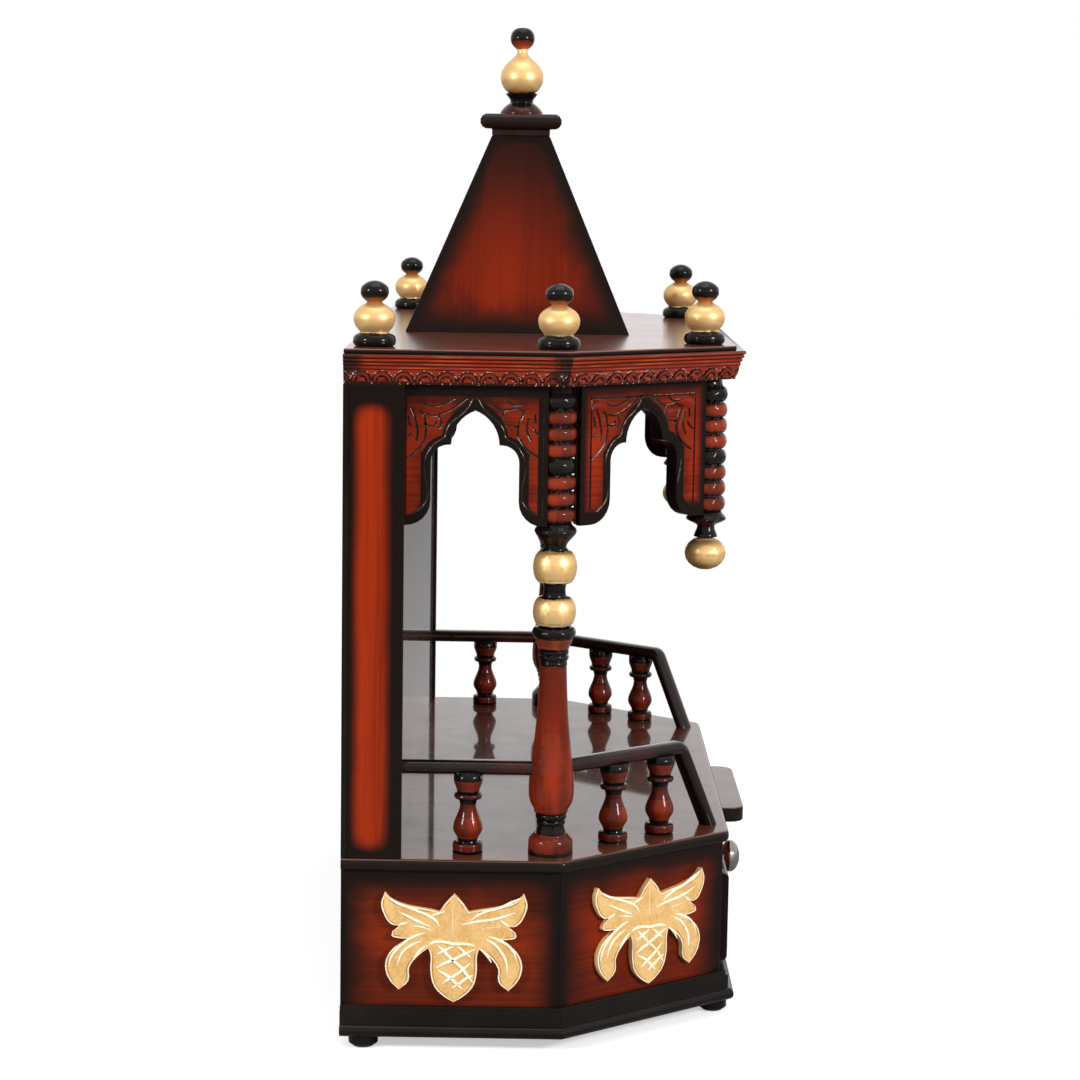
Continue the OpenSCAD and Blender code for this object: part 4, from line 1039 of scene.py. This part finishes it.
LEAF_LINES = [
    [(-46.6, 31.3), (-43, 28.4), (-34.3, 25.1), (-24.8, 21.4), (-17.5, 18.1), (-13.1, 14.5), (-10.6, 10.9)],
    [(-40.8, 21.4), (-34.3, 18.1), (-27, 14.5), (-17.5, 10.5)],
    [(-34.3, 13.4), (-37.9, 12.3), (-41.5, 10.9)],
    [(-21.5, 5.8), (-27.7, 3.6), (-34.3, -0.1), (-41.5, -6.6), (-46.6, -13.9), (-47.7, -20.5)],
    [(-24.1, -0.4), (-31.3, -3.7), (-37.9, -9.5), (-41.9, -19.8)],
    [(-19.7, -3.7), (-24.8, -7.4), (-28.4, -12.5), (-31.3, -16.8)],
    [(-16.8, 18.9), (-12.4, 20.3), (-6.9, 22.2)], [(8, 22.5), (16.8, 20)],
    [(12.4, 16), (17.5, 19.6), (24.1, 22.9), (33.5, 25.4), (40.8, 29.1), (48.8, 33.1)],
    [(5.8, 12.3), (16.8, 14.7), (32.8, 17.6), (45.2, 22.2)],
    [(34.3, 16.3), (37.9, 13), (40.8, 11.6)],
    [(25.5, 3.9), (31.3, 1.7), (37.9, -1.5), (43.7, -7.4), (46.6, -14.7)],
    [(23.3, 1.7), (29.9, -2.3), (35, -8.1), (38.6, -15.4), (39.4, -24.1)],
    [(18.2, -5.2), (24.1, -10.3), (27.7, -16.1)],
    [(-6.9, 12.3), (-6.9, 10.1)], [(5.8, 12.3), (5, 8)]]
THIN_LINES = [
    [(-31.3, 11.2), (-24.1, 10.1), (-16.8, 8.1)], [(20.4, 9.8), (34.3, 11.2)],
    [(-1.1, 26.5), (-1.1, 7.9)]]
FRUIT_LINES = [
    [(-19, -3.7), (-15.3, -1.5), (-8.7, -0.8), (0, -2.3), (9.5, -2.3), (16.8, -4.1)],
    [(-12.4, -3), (-7.3, -8.1), (-0.7, -14.7), (5.8, -20.5), (10.2, -26.3), (15.3, -32.9)],
    [(2.2, -3.4), (7.3, -8.1), (13.8, -13.2)],
    [(-12.4, -21.9), (-6.6, -25.6), (-2.2, -28.5), (2.9, -33.6), (7.3, -37.2)],
    [(-13.8, -11), (-6.6, -7.4), (0.7, -3.4)],
    [(-14.2, -21.6), (-6.6, -17.2), (-0.7, -14.7), (7.3, -10.3), (17.5, -5.2)],
    [(-9.5, -33.6), (-2.2, -28.5), (5.8, -22.7), (13.8, -15.4)],
    [(-2.2, -36.5), (2.9, -33.6), (9.5, -28.5), (15.3, -25.6)]]

EMBLEM_T = 5 * MM
EMBLEM_Z = 83.4 * MM
EMBLEM_BACK, EMBLEM_ALONG = 84 * MM, 83.2 * MM
side_emblem = Vector((SIDE_X + EMBLEM_T, BACK_Y - EMBLEM_BACK, EMBLEM_Z))
diagonal_emblem = DIAG_A + DIAG_ALONG * EMBLEM_ALONG + NORMAL * EMBLEM_T + Vector((0, 0, EMBLEM_Z))


# Right half of a plate's outline, as in the solid: origin at the knot, in mm
OUTLINE = [[(0, 35.3), (6.2, 28.4), (10.6, 21.9)],
           [(10.6, 21.9), (21.8, 23.9), (33.4, 25.9), (45, 29.8), (51.2, 35.9)],
           [(51.2, 35.9), (53.6, 27.9), (51.7, 19.9), (45.9, 11.9), (40.1, 11)],
           [(40.1, 11), (45.9, 3.9), (43, 2), (31.4, 1)],
           [(31.4, 1), (43.9, -6), (49.7, -14.9), (50.1, -22.9), (46.8, -30.9), (40.5, -37.8)],
           [(40.5, -37.8), (33.4, -30.9), (33, -20.9), (25.7, -11), (18.9, -6)],
           [(18.9, -6), (17, -11), (17, -22.9), (14.1, -34.8), (6.4, -42.8), (0, -46.8)]]


def inside_line(points, inset):
    """The points moved inwards from a plate's edge; the outline runs clockwise."""
    line = []
    for i, (u, v) in enumerate(points):
        before, after = points[max(i - 1, 0)], points[min(i + 1, len(points) - 1)]
        du, dv = after[0] - before[0], after[1] - before[1]
        size = (du * du + dv * dv) ** 0.5
        line.append((u + dv / size * inset, v - du / size * inset))
    return line


def rim_lines(inset):
    lines = [inside_line(points, inset) for points in OUTLINE]
    return lines + [[(-u, v) for u, v in line] for line in lines]


# ---- Pieces ----

for side, sign in (("left", -1), ("right", 1)):
    dressed("base_side_" + side, base_side, 0.6 * MM)
    dressed("base_diagonal_" + side, base_diagonal, 0.6 * MM)
    dressed("side_wall_" + side, wall_lacquer)
    reshaped(dressed("pillar_" + side, pillar_paint, 0, shade=TURNED), VASE, DECK_TOP)
    rail = dressed("rail_" + side, rail_lacquer, 0, shade=TURNED)
    pillar_axis = middle_of("pillar_" + side)[0]
    pillar_axis.z = 0
    for direction in (Vector((0, 1, 0)), Vector((sign * DIAG_ALONG.x, DIAG_ALONG.y, 0))):
        joined_to_pillar(rail, pillar_axis, direction, RAIL_SINK)
    dressed("balusters_" + side, baluster_paint, 0, shade=TURNED)
dressed("base_front", base_front, 0.6 * MM)
dressed("pendants", pendant_paint, 0, shade=TURNED)
dressed("spire_sides", spire_side_lacquer, 0.7 * MM)
dressed("spire_ends", spire_end_lacquer, 0.7 * MM)
dressed("deck", deck_lacquer)
dressed("roof_board", roof_lacquer)
dressed("lamp_tray", tray_lacquer)
dressed("back_panel", panel_lacquer)
dressed("spire_cap", cap_lacquer)
dressed("drawer_front", drawer_lacquer)
for node in ("plinth_sides", "plinth_diagonals", "plinth_front", "feet", "base_back", "back_board"):
    dressed(node, plinth_lacquer, 0.9 * MM)
dressed("cornice_sides", cornice_side, 0)
dressed("cornice_diagonals", cornice_diagonal, 0)
dressed("cornice_front", cornice_front, 0)
for node in ("base_floor", "slide_runners", "drawer_sides", "drawer_back", "drawer_bottom"):
    dressed(node, wood, 0.5 * MM)
finish_turned("spire_finial", ONION, TOP_R * MM, TOP_H * MM, top_finial_paint)
finish_turned("roof_finials", MUSHROOM, FINIAL_R * MM, FINIAL_H * MM, finial_paint)
dressed("drawer_knob", steel, 0, shade=TURNED)

dressed("carved_emblems", tan_gold, 0.5 * MM)
ridges, seams = [], []
for sign in (-1, 1):
    for spot, along, outward in ((side_emblem, (0, -1, 0), (1, 0, 0)),
                                 (diagonal_emblem, DIAG_ALONG, NORMAL)):
        for lines, width, sink, pile in (
                (LEAF_LINES, 1.15 * MM, -0.35 * MM, ridges), (THIN_LINES, 0.6 * MM, -0.1 * MM, ridges),
                (FRUIT_LINES, 1.4 * MM, -0.55 * MM, ridges), (rim_lines(0.3), 0.5 * MM, -0.2 * MM, ridges),
                (rim_lines(1.5), 0.38 * MM, -0.25 * MM, seams)):
            tubes = stroke_tubes("emblem_rods", lines, width, sink=sink)
            pile.append(placed(tubes, (sign * spot.x, spot.y, spot.z),
                               (sign * along[0], along[1], 0), (sign * outward[0], outward[1], 0)))


for pile, name, material in ((ridges, "emblem_ridges", ridge_paint),
                             (seams, "emblem_seams", groove_paint)):
    obj = joined(pile, name)
    smooth(obj, 60, weighted=False)
    paint(obj, material)
    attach(obj, BODY["carved_emblems"])


# ---- Floor, light and camera ----


def plane_mesh(name, size, z):
    bpy.ops.mesh.primitive_plane_add(size=size, location=(0, 0, 0))
    obj = bpy.context.object
    obj.name = name
    in_edit(obj, lambda: bpy.ops.mesh.subdivide(number_cuts=3),
            lambda: bpy.ops.transform.translate(value=(0, 0, z)))
    return obj


def floor_material(name):
    """Pale paper that fades to white away from the object."""
    material = bpy.data.materials.new(name)
    material.use_nodes = True
    tree = material.node_tree
    tree.nodes.clear()
    rays = tree.nodes.new("ShaderNodeLightPath")
    seen = put(tree, "BsdfDiffuse", {"Color": (0.80, 0.80, 0.80, 1)})  # as the camera sees it
    lit = put(tree, "Emission", {"Color": (1, 1, 1, 1), "Strength": 0.50})
    near = put(tree, "AddShader", {0: seen, 1: lit})
    far = put(tree, "Emission", {"Color": (1, 1, 1, 1), "Strength": 1.0})
    place = put(tree, "TexCoord", out=3)
    out_from = put(tree, "VectorMath", {0: place}, out=1, operation="LENGTH")
    both = put(tree, "MixShader", {0: ramp_between(tree, out_from, 0.42, 1.0), 1: near, 2: far})
    mirrored = put(tree, "BsdfDiffuse", {"Color": (0.42, 0.42, 0.42, 1)})
    mixed = put(tree, "MixShader", {0: rays.outputs["Is Camera Ray"], 1: mirrored, 2: both})
    out = tree.nodes.new("ShaderNodeOutputMaterial")
    tree.links.new(mixed, out.inputs[0])
    return material


floor = plane_mesh("floor", 14.0, -0.4 * MM)
paint(floor, floor_material("floor_paper"))


def light_world():
    """A plain white world, dimmer for the light that it gives than as it is seen or mirrored."""
    world = bpy.context.scene.world or bpy.data.worlds.new("studio")
    bpy.context.scene.world = world
    world.use_nodes = True
    tree = world.node_tree
    tree.nodes.clear()
    rays = tree.nodes.new("ShaderNodeLightPath")
    direct = maths(tree, "MAXIMUM", rays.outputs["Is Camera Ray"], rays.outputs["Is Glossy Ray"])
    direct = maths(tree, "MAXIMUM", direct, rays.outputs["Is Transmission Ray"])
    strength = ramp_between(tree, direct, 0.0, 1.0, 0.5, 1.0, smoothly=False)
    sky = put(tree, "Background", {"Color": (1, 1, 1, 1), "Strength": strength})
    tree.links.new(sky, tree.nodes.new("ShaderNodeOutputWorld").inputs[0])


light_world()


def softbox(name, spot, aim, width, height, power):
    data = bpy.data.lights.new(name, "AREA")
    data.shape = "RECTANGLE"
    data.size, data.size_y = width, height
    data.energy = power
    lamp = bpy.data.objects.new(name, data)
    bpy.context.scene.collection.objects.link(lamp)
    lamp.matrix_world = Matrix.Translation(spot) @ (
        Vector(aim) - Vector(spot)).to_track_quat("-Z", "Y").to_matrix().to_4x4()


TARGET = (0, 0, 0.35)
softbox("softbox_left", (-1.42, 1.50, 1.02), TARGET, 0.36, 0.36, 20)
softbox("softbox_right", (-1.46, -1.46, 1.05), TARGET, 0.44, 0.44, 33)
softbox("overhead", (-0.2, -0.1, 2.6), TARGET, 1.6, 1.6, 18)

camera_data = bpy.data.cameras.new("camera")
camera_data.sensor_width = 36
camera_data.lens = 86.667
camera_data.clip_end = 60
camera = bpy.data.objects.new("camera", camera_data)
bpy.context.scene.collection.objects.link(camera)
TILT, ROLL = -0.140, 0.016
ahead = Vector((cos(TILT), 0, sin(TILT)))
level = Vector((0, -1, 0))
above = level.cross(ahead)
rightward = level * cos(ROLL) + above * sin(ROLL)
upward = above * cos(ROLL) - level * sin(ROLL)
turn = Matrix((rightward, upward, -ahead)).transposed().to_4x4()
camera.matrix_world = Matrix.Translation((-2.1569, 0.0157, 0.644)) @ turn
bpy.context.scene.camera = camera

bpy.context.scene.view_settings.view_transform = "Standard"
